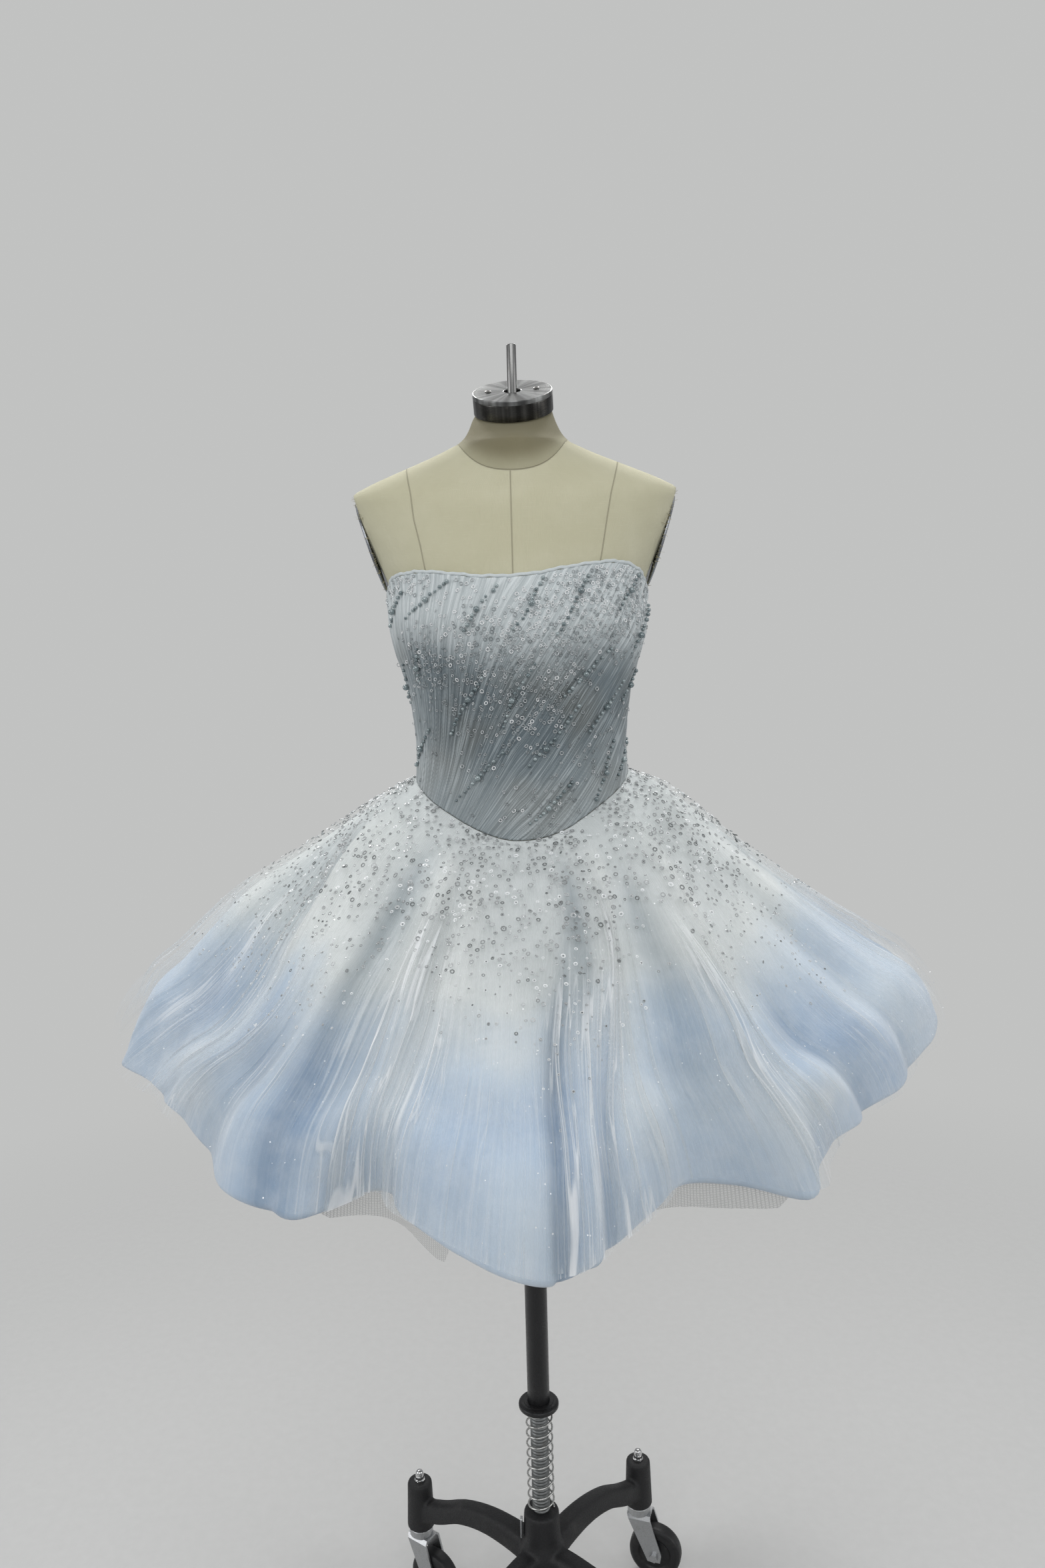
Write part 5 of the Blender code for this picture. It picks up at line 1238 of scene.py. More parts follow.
def build_skirt(looks):
    rng = np.random.default_rng(77)
    hidden = more_creases(rng, 90, 270, 6.6)
    veil_creases = list(FRONT_CREASES[0::2]) + hidden[0::2]
    over_creases = list(FRONT_CREASES[1::2]) + hidden[1::2]

    # the opaque layer, its hem rolled in
    columns = 560
    u = np.linspace(-180, 180, columns, endpoint=False)[None, :]
    rows = np.concatenate([np.linspace(0, 1, 64) ** 0.92])[:, None]
    s = rows * np.ones_like(u)
    points, normal = skirt_at(u, s, base_lift(u, s))
    down = points[-1] - points[-2]
    down /= np.linalg.norm(down, axis=-1, keepdims=True)
    rolled = []
    for k in range(1, 9):
        f = math.radians(165) * k / 8
        rolled.append(points[-1] + down * (0.0085 * math.sin(f)) - normal[-1] * (0.0085 * (1 - math.cos(f))))
    points = np.concatenate([points, np.array(rolled)])
    s = np.concatenate([s, np.ones((8, columns)) * np.linspace(1.005, 1.03, 8)[:, None]])
    high = 1000.0 * folds(u, s)
    flow = np.stack([np.broadcast_to(u, s.shape), s, high], -1)
    base = grid_object("skirt_ombre_layer", points, {"flow": flow, "dye": dye(u, s), "bundle": bundle(u, s)},
                       closed=True, material=looks["skirt"])
    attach(base, "form")
    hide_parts("skirt_front", "skirt_back_right", "skirt_back_left")

    # two sheer veils over it
    for name, creases, lift, puff, end, seed, look in (
            ("skirt_veil_inner", veil_creases, -0.0015, 0.007, VEIL_END_READ, 21, "veil_inner"),
            ("skirt_veil_outer", over_creases, 0.0015, 0.013, OVER_END_READ, 34, "veil_outer")):
        cols = columns_for(creases, 0.66, 15.0)
        count = 46
        u = cols[None, :]
        v = np.linspace(0, 1, count)[:, None] ** 0.95
        stop = 1 - 0.55 * (1 - end(u))
        s = v * stop
        shift, rise, white = crease_effect(u, s, creases)
        rise = rise * (1 - smooth(0.82, 1.0, v))
        high = (lift + puff * side_puff(u, s) + rise + undulation(u, s, seed, 0.0010) * smooth(0.1, 0.7, s)
                + folds(u, s) - 0.0010 * smooth(0.93, 1.0, v) * (lift > 0))
        points, _ = skirt_at(u + shift, s, high)
        aside = smooth(62, 82, np.abs(signed(u))) * (1 - smooth(98, 118, np.abs(signed(u))))
        # where the veil stops short of the hem it thins out unevenly instead of ending in a line
        short = np.maximum(aside, smooth(0.002, 0.014, 1 - stop))
        fray = 0.80 + 0.05 * np.sin(np.radians(u) * 37 + seed) + 0.035 * np.sin(np.radians(u) * 101 + 2.0)
        edge = 1.0 + 0.25 * smooth(0.970, 0.995, v) * (1 - short) - 0.97 * short * smooth(0, 1, (v - fray) / (1 - fray))
        flow = np.stack([np.broadcast_to(u, s.shape), s, 1000.0 * folds(u, s)], -1)
        white = white * np.clip((s - 0.02) / 0.1, 0, 1) * (1 - 0.80 * smooth(0.84, 0.98, v))
        piece = grid_object(name, points, {"flow": flow, "crease": white, "edge": edge, "dye": dye(u, s),
                                           "bundle": bundle(u, s)}, closed=True,
                            material=looks[look])
        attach(piece, "form")
        print("VEIL", name, len(cols), "columns")

    # underskirt and petticoat, where the part has them
    def inner(name, inside, length, drop, look, nodes, slot, wave, edge_cut):
        columns, rows = 420, 36
        angle = np.linspace(-180, 180, columns, endpoint=False)[None, :]
        v = np.linspace(0, 1, rows)[:, None]
        reach = length + edge_cut(flow_angle(angle, 1.0))
        s = v * reach
        blend = smooth(0, 0.16, s)
        deep = inside * (0.45 + 0.55 * s) * blend + wave(angle, s)
        # it stays under the layer above it in that layer's valleys too
        behind = (0.0030 + 0.45 * (inside - 0.0125) - base_lift(angle, np.minimum(s, 1.0))) * blend
        spot, _ = skirt_at(angle, s, -np.maximum(deep, behind))
        spot = spot - np.array([0, 0, drop]) * (1 - blend)[..., None]
        flow = np.stack([np.broadcast_to(angle, s.shape), s, np.ones_like(s)], -1)
        net = np.stack([np.radians(np.broadcast_to(angle, s.shape)) * 0.42, s * 0.48, np.zeros_like(s)], -1)
        piece = grid_object(name, spot, {"flow": flow, "net": net, "dye": dye(angle, s), "bundle": 0.2 + 0 * s},
                            closed=True, material=look)
        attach(piece, "form")
        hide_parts(*nodes)
        return piece

    under = inner("underskirt_layer", 0.0125, 0.950, 0.0055, looks["underskirt"],
                  ("underskirt_front", "underskirt_back"), "tulle_blue",
                  lambda a, s: undulation(a, s, 51, 0.0006) * s, lambda a: 0 * a)
    longer = ((-180, 0.0), (-150, 0.0), (-144, 0.080), (-134, 0.085), (-128, 0.0), (-95, 0.0), (-50, 0.0), (-29, 0.02),
              (-26, 0.095), (-19, 0.112), (-12.5, 0.098), (-10, 0.01), (15, 0.01), (18, 0.090), (24, 0.108), (31, 0.092),
              (34, 0.0), (80, 0.0), (120, 0.0), (126, 0.080), (134, 0.090), (140, 0.0), (170, 0.0))
    longer_read = curve(longer, 1, 360.0)
    stiff = inner("crinoline_petticoat", 0.0205, 0.955, 0.0110, looks["crinoline"],
                  ("petticoat_front", "petticoat_back"), "crinoline",
                  lambda a, s: undulation(a, s, 52, 0.0012) * s,
                  lambda a: np.clip(longer_read(a), 0, 1) + 0.006 * np.sin(np.radians(a) * 31 + 1.0))
    return veil_creases, over_creases


def build_skirt_sequins(material, bright, over_creases):
    """Rings with a seed bead, crowded at the waist and gone by about six tenths of the way down."""
    rng = np.random.default_rng(909)
    for name, lo, hi, count in (("skirt_rings_front", -92, 92, 30000), ("skirt_rings_back", 92, 268, 16000)):
        u = rng.uniform(lo, hi, count)
        s = rng.uniform(0.004, 0.78, count)
        radius = 0.15 + 0.30 * s
        stripes = 0.75 + 0.5 * np.sin(np.radians(u) * 9 + 1.0) * np.sin(np.radians(u) * 4)
        clumps = 0.72 + 0.75 * np.sin(np.radians(u) * 57 + 9 * s) * np.sin(s * 61 + 2 * np.sin(np.radians(u) * 31))
        reach = 0.44 + 0.09 * np.sin(np.radians(u) * 7 + 0.6) + 0.05 * np.sin(np.radians(u) * 19)
        stream = np.exp(-((u + 74) / 6.0) ** 2) * (s < 0.66) + 0.6 * np.exp(-((u + 6) / 9.0) ** 2) * (s < 0.60)
        want = (radius / 0.40) * clumps * (stripes * 0.95 * np.exp(-(s / (reach * 0.80)) ** 2.6)
                                           + 0.38 * stream * (s > 0.2) + 0.035 * (s < reach + 0.18))
        pick = rng.uniform(0, 1, count) < want
        u, s = u[pick], s[pick]
        high = 0.0015 + 0.013 * side_puff(u, s) + folds(u, s) + undulation(u, s, 34, 0.0010) * smooth(0.1, 0.7, s)
        shift, rise, _ = crease_effect(u, s, over_creases)
        spot, normal = skirt_at(u + shift, s, high + rise)
        keep = thin_out(spot, 0.0055, rng)
        limit = 3200 if "front" in name else 2200
        keep = np.sort(rng.permutation(keep)[:limit])
        spot, normal, s = spot[keep], normal[keep], s[keep]
        n = len(spot)
        frames = axes_from(normal, rng.uniform(0, 6.28, n), rng.normal(0, 0.30, n))
        sizes = rng.choice([0.0016, 0.0021, 0.0026, 0.0031], n, p=[0.22, 0.38, 0.30, 0.10]) * rng.uniform(0.9, 1.1, n)
        sizes = sizes * (1 - 0.36 * smooth(0.28, 0.62, s))
        tone = np.where(rng.uniform(0, 1, n) < 0.14, 1.0, np.clip(rng.normal(0.30, 0.20, n) + 0.25 * smooth(0.3, 0.6, s), 0, 0.9))
        piece = scatter(name, washer(7, 0.52, 0.28), spot + normal * 0.0007, frames, sizes, {"tone": tone}, material)
        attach(piece, "form")
        with_bead = rng.uniform(0, 1, n) < 0.42
        spots = spot[with_bead] + normal[with_bead] * 0.0011
        m = len(spots)
        piece = scatter(name.replace("rings", "beads"), ball(3, 6), spots, frames[with_bead],
                        rng.uniform(0.0006, 0.0010, m), {"tone": np.clip(rng.normal(0.35, 0.25, m), 0, 1)}, material)
        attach(piece, "form")
        print("SEQUINS", name, n, m)

    # fine glitter over the whole skirt
    n = 1500
    u, s = rng.uniform(-180, 180, n), rng.uniform(0.05, 0.98, n) ** 0.8
    high = 0.0020 + 0.013 * side_puff(u, s) + folds(u, s)
    spot, normal = skirt_at(u, s, high)
    frames = axes_from(normal, rng.uniform(0, 6.28, n), rng.normal(0, 0.5, n))
    flat = (np.array([(math.cos(a), math.sin(a), 0) for a in np.linspace(0, 2 * math.pi, 6)[:-1]]),
            np.array([(0, 1, 2), (0, 2, 3), (0, 3, 4)]))
    piece = scatter("skirt_glitter", flat, spot, frames, rng.uniform(0.0004, 0.0008, n), {"tone": np.ones(n)},
                    bright, False)
    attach(piece, "form")


# ------------------------------------------------------------------ zip
def build_zip(metal):
    """Small teeth in place of the chain; the slider and pull keep the part's own solids."""
    low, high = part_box("zip_chain")
    rows = int((high.z - low.z) / 0.0016)
    cube = np.array([(x, y, z) for x in (-0.5, 0.5) for y in (-0.5, 0.5) for z in (-0.5, 0.5)])
    quads = np.array([(0, 1, 3, 2), (4, 6, 7, 5), (0, 4, 5, 1), (2, 3, 7, 6), (0, 2, 6, 4), (1, 5, 7, 3)])
    z = low.z + 0.0008 + (high.z - low.z - 0.0016) * np.arange(rows) / (rows - 1)
    table = []
    mesh = NODES["zip_chain"].data
    co = np.array([v.co for v in mesh.vertices])
    levels = np.round(co[:, 2], 4)
    for level in np.unique(levels):
        table.append((level, co[levels == level][:, 1].mean()))
    table = np.array(sorted(table))
    y = np.interp(z, table[:, 0], table[:, 1])
    side = np.where(np.arange(rows) % 2 == 0, 1.0, -1.0)
    places = np.stack([side * 0.00075, y, z], -1)
    frames = np.repeat(np.eye(3)[None], rows, 0)
    sizes = np.repeat(np.array([[0.0026, 0.0014, 0.00105]]), rows, 0)
    local = cube[None] * sizes[:, None]
    points = (local @ np.eye(3) + places[:, None]).reshape(-1, 3)
    faces = (quads[None] + (np.arange(rows) * 8)[:, None, None]).reshape(-1, 4)
    teeth = mesh_object("zip_teeth", points, faces, smooth_shade=False, material=metal)
    tape_rows = []
    for x in (-0.0030, 0.0030):
        tape_rows.append(np.stack([np.full(len(table), x), table[:, 1] - 0.0006, table[:, 0]], -1))
    tape = grid_object("zip_tape", np.array(tape_rows), material=metal)
    for piece in (teeth, tape):
        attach(piece, "form")
    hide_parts("zip_chain")
    return tape


# ------------------------------------------------------------------ dress form
ARM_FRAMES = {}


def build_form(looks):
    columns = 176
    a = np.linspace(0, 2 * math.pi, columns, endpoint=False)
    angle = np.degrees(a)
    levels = np.concatenate([np.linspace(FORM_BOTTOM, 1.37, 60), np.linspace(1.37, 1.572, 46)[1:]])
    rings = [form_point(angle, z) for z in levels]
    tilt = np.array(CAP_TURN.to_3x3())
    axis = tilt @ np.array([0, 0, 1.0])
    face = np.array([0, 0, CAP_TOP])
    top_rings = []
    for y, z, half, deep, lean, roll in NECK_SECTIONS:
        turn = np.array(Matrix.Rotation(math.radians(-roll), 3, "Y") @ Matrix.Rotation(math.radians(lean), 3, "X"))
        flat = np.stack([half * np.sin(a), -deep * np.cos(a), np.zeros(columns)], -1)
        top_rings.append(np.array([0, y, z]) + flat @ turn.T)
    inner = CAP_R - CAP_WALL - 0.0007
    disc = np.stack([inner * np.sin(a), -inner * np.cos(a), np.zeros(columns)], -1) @ tilt.T
    top_rings += [face - axis * CAP_BAND + disc, face - axis * NECK_DROP + disc]
    coarse = [rings[-2], rings[-1]] + top_rings
    fine = []
    for i in range(1, len(coarse) - 1):
        p0, p1, p2 = coarse[i - 1], coarse[i], coarse[i + 1]
        p3 = coarse[i + 2] if i + 2 < len(coarse) else 2 * p2 - p1
        for k in range(1, 6):
            t = k / 5
            fine.append(0.5 * (2 * p1 + (p2 - p0) * t + (2 * p0 - 5 * p1 + 4 * p2 - p3) * t * t
                               + (3 * p1 - p0 - 3 * p2 + p3) * t ** 3))
    points = np.array(rings + fine)

    # flat armholes, and the frames their plates stand on
    for name, side in (("left", -1), ("right", 1)):
        top, foot = np.array([0.1865 * side, 0, 1.521]), np.array([0.1500 * side, 0, 1.404])
        down = (foot - top) / np.linalg.norm(foot - top)
        outward = np.array([-down[2] * side, 0, down[0] * side])
        if outward[0] * side < 0:
            outward = -outward
        middle = (top + foot) / 2
        over = (points - middle) @ outward
        over = np.where(points[..., 2] > 1.400, np.maximum(over, 0), 0)
        points = points - over[..., None] * outward
        ARM_FRAMES[name] = (middle, outward, down)

    z = points[..., 2]
    side_angle = signed(np.broadcast_to(angle, z.shape))
    # signed distances from the neck seam, the princess seams and the shoulder seams
    x = points[..., 0]
    low_x = np.where(x < 0, np.interp(z, [1.35, 1.420, 1.453, 1.483, 1.5125, 1.547], [0.094, 0.100, 0.106, 0.113, 0.1165, 0.1235]),
                     np.interp(z, [1.35, 1.420, 1.450, 1.477, 1.507, 1.5505], [0.084, 0.090, 0.096, 0.101, 0.107, 0.119]))
    reach = x + 0.002
    neck_z = np.minimum(1.5355 + 4.24 * reach ** 2 + 1363 * reach ** 4, 1.577)
    neck_z = np.where(points[..., 1] < 0, neck_z, np.maximum(neck_z, 1.577 - 0.10 * points[..., 1]))
    cloth = np.stack([np.radians(side_angle) * 0.15, z, np.zeros_like(z)], -1)
    seams = np.stack([(z - neck_z) * 0.92, np.abs(x) - low_x, points[..., 1] - 0.010], -1)
    made = grid_object("form_linen", points, {"cloth": cloth, "seams": seams}, closed=True, flip=True,
                       material=looks["linen"])
    cap = bmesh.new()
    cap.from_mesh(made.data)
    cap.verts.ensure_lookup_table()
    cap.faces.new([cap.verts[j] for j in range(columns)])
    last = (len(points) - 1) * columns
    cap.faces.new([cap.verts[last + j] for j in reversed(range(columns))])
    bmesh.ops.recalc_face_normals(cap, faces=cap.faces)
    cap.to_mesh(made.data)
    cap.free()
    sharpen(made, 50)
    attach(made, "form")
    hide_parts("form_torso")

    # frayed threads along the edge of each armhole
    rng = np.random.default_rng(31)
    strand_points, strand_faces, base = [], [], 0
    for name, (middle, outward, down) in ARM_FRAMES.items():
        across = np.array([0, 1.0, 0])
        for _ in range(260):
            f = rng.uniform(0, 2 * math.pi)
            rim = middle + np.array([0, 0.010, 0]) + down * (-0.0585 * math.cos(f)) + across * (0.044 * math.sin(f))
            if rng.uniform() < 0.4 and math.cos(f) < 0:
                continue
            root = rim - outward * 0.0012
            tip_dir = (-down * math.cos(f) * 0.7 + across * math.sin(f) * 0.7 + outward * rng.uniform(0.1, 0.7)
                       + rng.normal(0, 0.35, 3))
            tip_dir /= np.linalg.norm(tip_dir)
            length = rng.uniform(0.0025, 0.0085)
            side_way = np.cross(tip_dir, outward)
            side_way /= max(np.linalg.norm(side_way), 1e-6)
            w = 0.00028
            mid = root + tip_dir * length * 0.55 + rng.normal(0, 0.0004, 3)
            tip = root + tip_dir * length + rng.normal(0, 0.0007, 3)
            strand_points += [root - side_way * w, root + side_way * w, mid + side_way * w, mid - side_way * w,
                              tip + side_way * w * 0.4, tip - side_way * w * 0.4]
            strand_faces += [(base, base + 1, base + 2, base + 3), (base + 3, base + 2, base + 4, base + 5)]
            base += 6
    fray = mesh_object("armhole_fray", np.array(strand_points), np.array(strand_faces), material=looks["fray"])
    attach(fray, "form")

    # arm plates: dished, with a rolled rim
    for name, (middle, outward, down) in ARM_FRAMES.items():
        frame3 = np.stack([down, np.cross(outward, down), outward], 1)
        matrix = Matrix.Translation(Vector(middle + outward * GAP + np.array([0, 0.010, 0]))) @ Matrix(frame3).to_4x4()
        profile = [(0, 0.0030), (0.30, 0.0030), (0.80, 0.0024), (0.90, 0.0022), (0.945, 0.0029), (0.975, 0.0030),
                   (0.995, 0.0024), (1.0, 0.0012), (0.99, 0.0), (0, 0.0)]
        plate = lathe("armplate_" + name, rounded(profile, 0.02, 2), looks["arm_plate"], 72,
                      matrix @ Matrix.Diagonal((0.055, 0.0407, 1.0, 1.0)), angle=60)
        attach(plate, "form")
        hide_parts("arm_plate_" + name)

    # cap, screws and rod
    turn = Matrix.Translation((0, 0, CAP_TOP)) @ CAP_TURN
    brushed = look_steel("cap_brushed", (0.34, 0.345, 0.34), 0.34, radial=turn, reflection_fan=3.2)
    band = look_steel("cap_band", (0.125, 0.122, 0.115), 0.24, radial=turn, reflection_fan=5.0)
    profile = rounded([(CAP_HOLE_R, -CAP_PLATE), (CAP_HOLE_R, 0.0), (CAP_R, 0.0), (CAP_R, -0.0052)], 0.0012)
    lid = lathe("cap_lid", profile, brushed, 128, turn)
    ring_profile = rounded([(CAP_R - 0.0002, -0.0055), (CAP_R, -0.0060), (CAP_R, -CAP_BAND), (CAP_R - CAP_WALL, -CAP_BAND),
                            (CAP_R - CAP_WALL, -CAP_PLATE), (CAP_HOLE_R, -CAP_PLATE)], 0.0004, 2)
    collar = lathe("cap_collar", ring_profile, band, 128, turn)
    for piece in (lid, collar):
        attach(piece, "form")
    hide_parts("neck_cap")
    axis_v = CAP_TURN.to_3x3() @ Vector((0, 0, 1))
    for name, x_at in (("left", -0.028), ("right", 0.028)):
        spot = Vector((0, 0, CAP_TOP)) + axis_v * GAP + CAP_TURN.to_3x3() @ Vector((x_at, 0, 0))
        head = lathe("cap_screwhead_" + name, [(0, 0.0012), (0.0010, 0.0013), (0.0013, 0.0016), (0.0026, 0.0015),
                                               (0.0034, 0.0009), (0.0036, 0.0002), (0.0036, 0.0), (0, 0.0)],
                     looks["dark_steel"], 40, Matrix.Translation(spot) @ CAP_TURN)
        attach(head, "form")
        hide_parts("cap_screw_" + name)
    low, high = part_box("top_rod")
    rod = lathe("steel_rod", rounded([(0, high.z), (ROD_R, high.z), (ROD_R, low.z), (0, low.z)], 0.0006),
                looks["rod"], 48)
    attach(rod, "form")
    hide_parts("top_rod")


# ------------------------------------------------------------------ stand
def sweep(name, path, radius, sides, material):
    """A round bar along a list of points."""
    path = np.asarray(path, float)
    ahead = np.gradient(path, axis=0)
    ahead /= np.linalg.norm(ahead, axis=1, keepdims=True)
    side_way = np.cross(ahead, np.array([0, 0, 1.0]))
    side_way /= np.linalg.norm(side_way, axis=1, keepdims=True)
    up = np.cross(side_way, ahead)
    a = np.linspace(0, 2 * math.pi, sides, endpoint=False)
    points = (path[:, None] + radius * (np.cos(a)[None, :, None] * side_way[:, None]
                                        + np.sin(a)[None, :, None] * up[:, None]))
    made = grid_object(name, points, closed=True, material=material)
    made.data.name = name
    closing = bmesh.new()
    closing.from_mesh(made.data)
    closing.verts.ensure_lookup_table()
    closing.faces.new([closing.verts[j] for j in range(sides)])
    last = (len(points) - 1) * sides
    closing.faces.new([closing.verts[last + j] for j in reversed(range(sides))])
    bmesh.ops.recalc_face_normals(closing, faces=closing.faces)
    closing.to_mesh(made.data)
    closing.free()
    return made


def build_stand(looks):
    low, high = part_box("pole")
    pole = lathe("stand_pole", rounded([(POLE_BORE, low.z), (POLE_R, low.z), (POLE_R, high.z), (POLE_BORE, high.z)],
                                       0.0006), looks["paint"], 64, closed=False)
    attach(pole, "column")
    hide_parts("pole")
    t = COLLAR_TOP
    collar = lathe("stand_collar", rounded([
        (POLE_R + GAP, t), (0.0185, t), (0.0192, t - 0.0006), (0.0225, t - 0.0010), (COLLAR_R - 0.0008, t - 0.0026),
        (COLLAR_R, t - 0.0036), (COLLAR_R, t - COLLAR_T + 0.0008), (COLLAR_R - 0.0008, t - COLLAR_T),
        (POLE_R + GAP, t - COLLAR_T)], 0.0006, 2), looks["paint"], 72)
    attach(collar, "column")
    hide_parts("pole_collar")
    low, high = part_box("pole_socket")
    socket = lathe("board_socket", rounded([
        (POLE_R + GAP, high.z), (0.035, high.z), (0.035, high.z - 0.004), (0.0185, high.z - 0.006),
        (0.0185, low.z), (POLE_R + GAP, low.z)], 0.0006, 2), looks["paint"], 64)
    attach(socket, "form")
    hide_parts("pole_socket")

    # the post: a thread that shows inside the spring, plain above
    z0, z1 = HUB_TOP + GAP, POST_TOP
    rows = [(0, z0)]
    pitch = 0.0042
    z = z0
    while z < 0.47:
        rows += [(POST_R - 0.0011, z + pitch * 0.05), (POST_R - 0.0011, z + pitch * 0.22), (POST_R, z + pitch * 0.42),
                 (POST_R, z + pitch * 0.78), (POST_R - 0.0011, z + pitch * 0.98)]
        z += pitch
    rows += [(POST_R, z), (POST_R, z1 - 0.001), (POST_R - 0.001, z1), (0, z1)]
    post = lathe("inner_post_ribbed", rows, looks["post"], 40, angle=60)
    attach(post, "base")
    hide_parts("inner_post")

    # the spring: an even helix from the hub to the collar
    low_z = HUB_TOP + GAP + SPRING_WIRE
    high_z = COLLAR_TOP - COLLAR_T - GAP - SPRING_WIRE
    per = 40
    total = int(per * SPRING_TURNS) + 1
    f = np.arange(total) / (total - 1)
    rise = low_z + (high_z - low_z) * f
    a = 2 * math.pi * np.arange(total) / per
    path = np.stack([SPRING_R * np.cos(a), SPRING_R * np.sin(a), rise], -1)
    spring = sweep("coil_spring", path, SPRING_WIRE, 10, looks["spring"])
    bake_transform(spring)
    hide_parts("spring")

    # one casting, its fillets made by remeshing arms, hub and bosses together
    parts = []
    black = looks["casting"]
    parts.append(lathe("hub_part", [(0, HUB_TOP), (0.0208, HUB_TOP), (0.0225, HUB_TOP - 0.002), (0.0240, 0.205),
                                    (0.0285, 0.190), (0.0300, 0.160), (0.0280, HUB_BOTTOM), (0, HUB_BOTTOM)], black, 64))
    arm = np.array([(0.010, 0.176, 0.034, 0.036), (0.050, 0.180, 0.030, 0.034), (0.095, 0.178, 0.027, 0.031),
                    (0.140, 0.166, 0.025, 0.030), (0.180, 0.145, 0.024, 0.031), (0.223, 0.128, 0.024, 0.030)])
    r_fine = np.linspace(0.010, 0.223, 40)
    dense = np.stack([r_fine] + [curve([(row[0], row[k]) for row in arm])(r_fine) for k in (1, 2, 3)], -1)
    for name, angle, trail in CASTORS:
        way = np.array([math.cos(math.radians(angle)), math.sin(math.radians(angle)), 0])
        across = np.array([-way[1], way[0], 0])
        b = np.linspace(0, 2 * math.pi, 28, endpoint=False)
        u = np.sign(np.cos(b)) * np.abs(np.cos(b)) ** 0.62 * 0.5
        v = np.sign(np.sin(b)) * np.abs(np.sin(b)) ** 0.62 * 0.5
        rings = np.array([way * r + np.array([0, 0, z]) + across * (u[:, None] * wide) + np.array([0, 0, 1]) * (v[:, None] * tall)
                          for r, z, wide, tall in dense])
        beam = grid_object("arm_part_" + name, rings, closed=True, material=black)
        fill = bmesh.new()
        fill.from_mesh(beam.data)
        fill.verts.ensure_lookup_table()
        fill.faces.new([fill.verts[j] for j in range(28)])
        fill.faces.new([fill.verts[(len(rings) - 1) * 28 + j] for j in reversed(range(28))])
        bmesh.ops.recalc_face_normals(fill, faces=fill.faces)
        fill.to_mesh(beam.data)
        fill.free()
        parts.append(beam)
        parts.append(lathe("boss_part_" + name, [(0, BOSS_TOP), (0.0152, BOSS_TOP), (0.0172, BOSS_TOP - 0.002),
                                                 (0.0195, BOSS_BOTTOM), (0, BOSS_BOTTOM)], black, 48,
                           Matrix.Translation((way[0] * ARM_REACH, way[1] * ARM_REACH, 0))))
    whole = bmesh.new()
    for part in parts:
        whole.from_mesh(part.data)
    mesh = bpy.data.meshes.new("cast_base")
    whole.to_mesh(mesh)
    whole.free()
    for part in parts:
        bpy.data.objects.remove(part, do_unlink=True)
    base = bpy.data.objects.new("cast_base", mesh)
    bpy.context.scene.collection.objects.link(base)
    voxel = base.modifiers.new("voxel", "REMESH")
    voxel.mode, voxel.voxel_size, voxel.use_smooth_shade = "VOXEL", 0.0022, True
    ease = base.modifiers.new("ease", "SMOOTH")
    ease.factor, ease.iterations = 0.5, 4
    dg = bpy.context.evaluated_depsgraph_get()
    done = bpy.data.meshes.new_from_object(base.evaluated_get(dg))
    base.modifiers.clear()
    base.data = done
    done.materials.clear()
    done.materials.append(black)
    for p in done.polygons:
        p.use_smooth = True
    # keep the smoothed casting clear of the post, spring and castors it meets
    co = np.zeros(len(done.vertices) * 3, np.float32)
    done.vertices.foreach_get("co", co)
    co = co.reshape(-1, 3)
    co[:, 2] = np.clip(co[:, 2], HUB_BOTTOM - 0.03, HUB_TOP)
    far = np.hypot(co[:, 0], co[:, 1])
    near_boss = far > ARM_REACH - 0.03
    co[near_boss, 2] = np.clip(co[near_boss, 2], BOSS_BOTTOM, BOSS_TOP)
    done.vertices.foreach_set("co", co.ravel())
    done.update()
    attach(base, "base")
    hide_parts("base_casting")

    for name, angle, trail in CASTORS:
        a, t = math.radians(angle), math.radians(trail)
        spot = Vector((ARM_REACH * math.cos(a), ARM_REACH * math.sin(a), 0))
        face = Matrix.Rotation(t, 4, "Z")
        nut = lathe("acorn_" + name, [(0, 0.0155), (0.0016, 0.0153), (0.0032, 0.0146), (0.0045, 0.0134), (0.0053, 0.0118),
                                      (0.0056, 0.0098), (0.0056, 0.0078), (0.0060, 0.0074), (0.0061, 0.0026),
                                      (0.0060, 0.0022), (0.0074, 0.0018), (0.0074, 0.0), (0, 0.0)],
                    looks["chrome"], 40, Matrix.Translation(spot + Vector((0, 0, BOSS_TOP + GAP))))
        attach(nut, "base")
        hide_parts("acorn_nut_" + name)
        hub = spot + face.to_3x3() @ Vector((TRAIL, 0, WHEEL_R))
        spin = face @ Matrix.Rotation(math.radians(-90), 4, "X")
        w = WHEEL_W / 2
        bore = 0.0040 + GAP * 1.5
        profile = rounded([(bore, w - 0.001), (0.0095, w - 0.001), (0.0105, w - 0.0030), (0.0215, w - 0.0042),
                           (0.0240, w - 0.0012), (WHEEL_R - 0.0050, w - 0.0010), (WHEEL_R - 0.0012, w - 0.0035),
                           (WHEEL_R, w - 0.0075), (WHEEL_R, -w + 0.0075), (WHEEL_R - 0.0012, -w + 0.0035),
                           (WHEEL_R - 0.0050, -w + 0.0010), (0.0240, -w + 0.0012), (0.0215, -w + 0.0042),
                           (0.0105, -w + 0.0030), (0.0095, -w + 0.001), (bore, -w + 0.001)], 0.0012, 3)
        wheel = lathe("castor_tyre_" + name, profile, looks["rubber"], 80, Matrix.Translation(hub) @ spin, closed=True)
        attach(wheel, "wheel_" + name)
        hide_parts("wheel_" + name)
        for node, look in (("fork_" + name, looks["zinc"]), ("axle_" + name, looks["zinc"])):
            thing = NODES[node]
            thing.data.materials.clear()
            thing.data.materials.append(look)
            edge = thing.modifiers.new("edge", "BEVEL")
            edge.width, edge.segments, edge.limit_method, edge.angle_limit = 0.0005, 2, "ANGLE", math.radians(40)
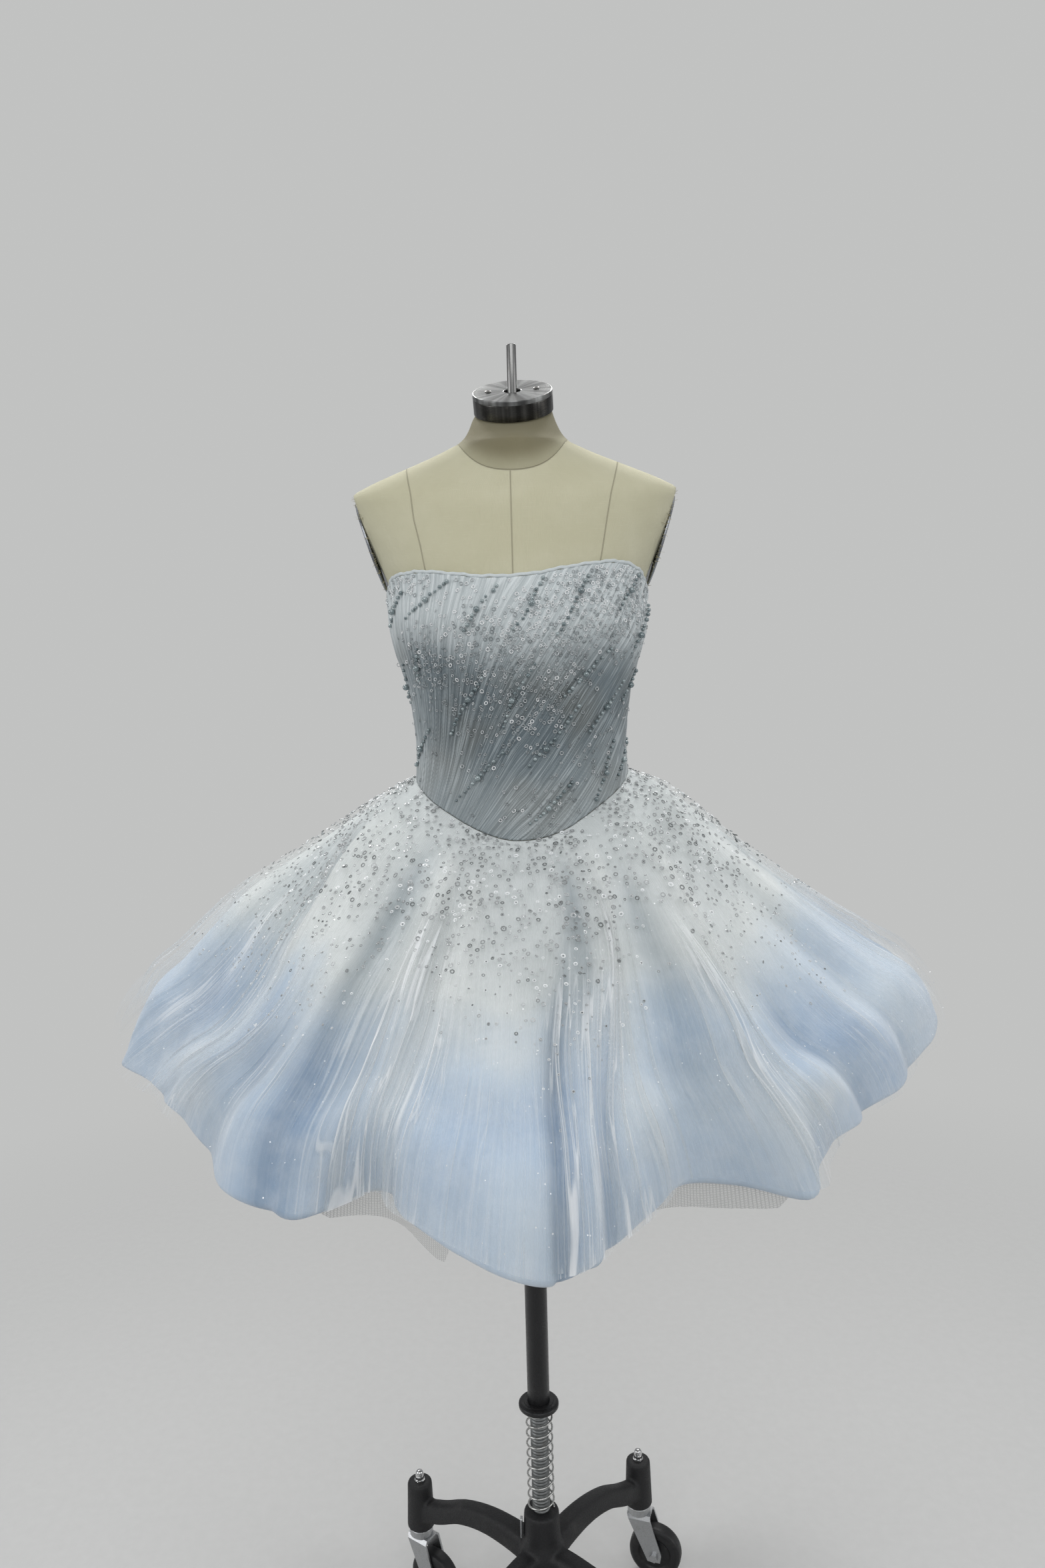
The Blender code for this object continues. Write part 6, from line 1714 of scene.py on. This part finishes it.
            edge.harden_normals = False


def give(node, look):
    thing = NODES[node]
    thing.data.materials.clear()
    thing.data.materials.append(look)


# ------------------------------------------------------------------ everything
build_stage()
looks = {
    "skirt": look_skirt(),
    "veil_inner": look_veil("veil_tulle_inner", 0.05, 0.22),
    "veil_outer": look_veil("veil_tulle_outer", 0.04, 0.20),
    "underskirt": look_skirt("blue_tulle"),
    "crinoline": look_crinoline(),
    "linen": look_linen(),
    "thread": look_white_cloth(),
    "arm_plate": look_steel("arm_plate_gloss", (0.33, 0.345, 0.37), 0.16, spots=0.1),
    "paint": look_black("black_enamel", (0.010, 0.010, 0.011), 0.22, 0.00008, 420.0, 0.12),
    "casting": look_black("black_casting", (0.011, 0.011, 0.012), 0.46, 0.0007, 520.0, 0.30),
    "post": look_steel("post_steel", (0.30, 0.31, 0.31), 0.42, spots=0.3),
    "spring": look_steel("spring_wire", (0.66, 0.66, 0.64), 0.20),
    "chrome": look_steel("chrome_nut", (0.72, 0.72, 0.72), 0.10),
    "zinc": look_steel("zinc_plate", (0.55, 0.56, 0.57), 0.34, spots=0.1),
    "dark_steel": look_steel("screw_steel", (0.20, 0.195, 0.185), 0.34),
    "fray": look_fray(),
    "rod": look_steel("rod_steel", (0.26, 0.26, 0.255), 0.26, along=(900.0, 900.0, 12.0)),
    "rubber": look_rubber(),
}
build_form(looks)
build_bodice(look_bodice())
build_binding(look_edge())
build_pearls(look_pearl())
build_bodice_sequins(look_sequin("clear_rings", (0.22, 0.25, 0.26), (1.0, 1.0, 1.0)))
veil_creases, over_creases = build_skirt(looks)
build_skirt_sequins(look_sequin("silver_rings", (0.10, 0.112, 0.112), (0.96, 0.98, 0.99)),
                    look_sequin("glitter", (0.5, 0.55, 0.6), (0.98, 0.99, 1.0)), over_creases)
tape = build_zip(looks["zinc"])
tape.data.materials[0] = look_white_cloth()
build_stand(looks)
give("form_board", look_wood())
give("zip_slider", looks["zinc"])
give("zip_pull", looks["zinc"])
give("catch_lever", looks["zinc"])
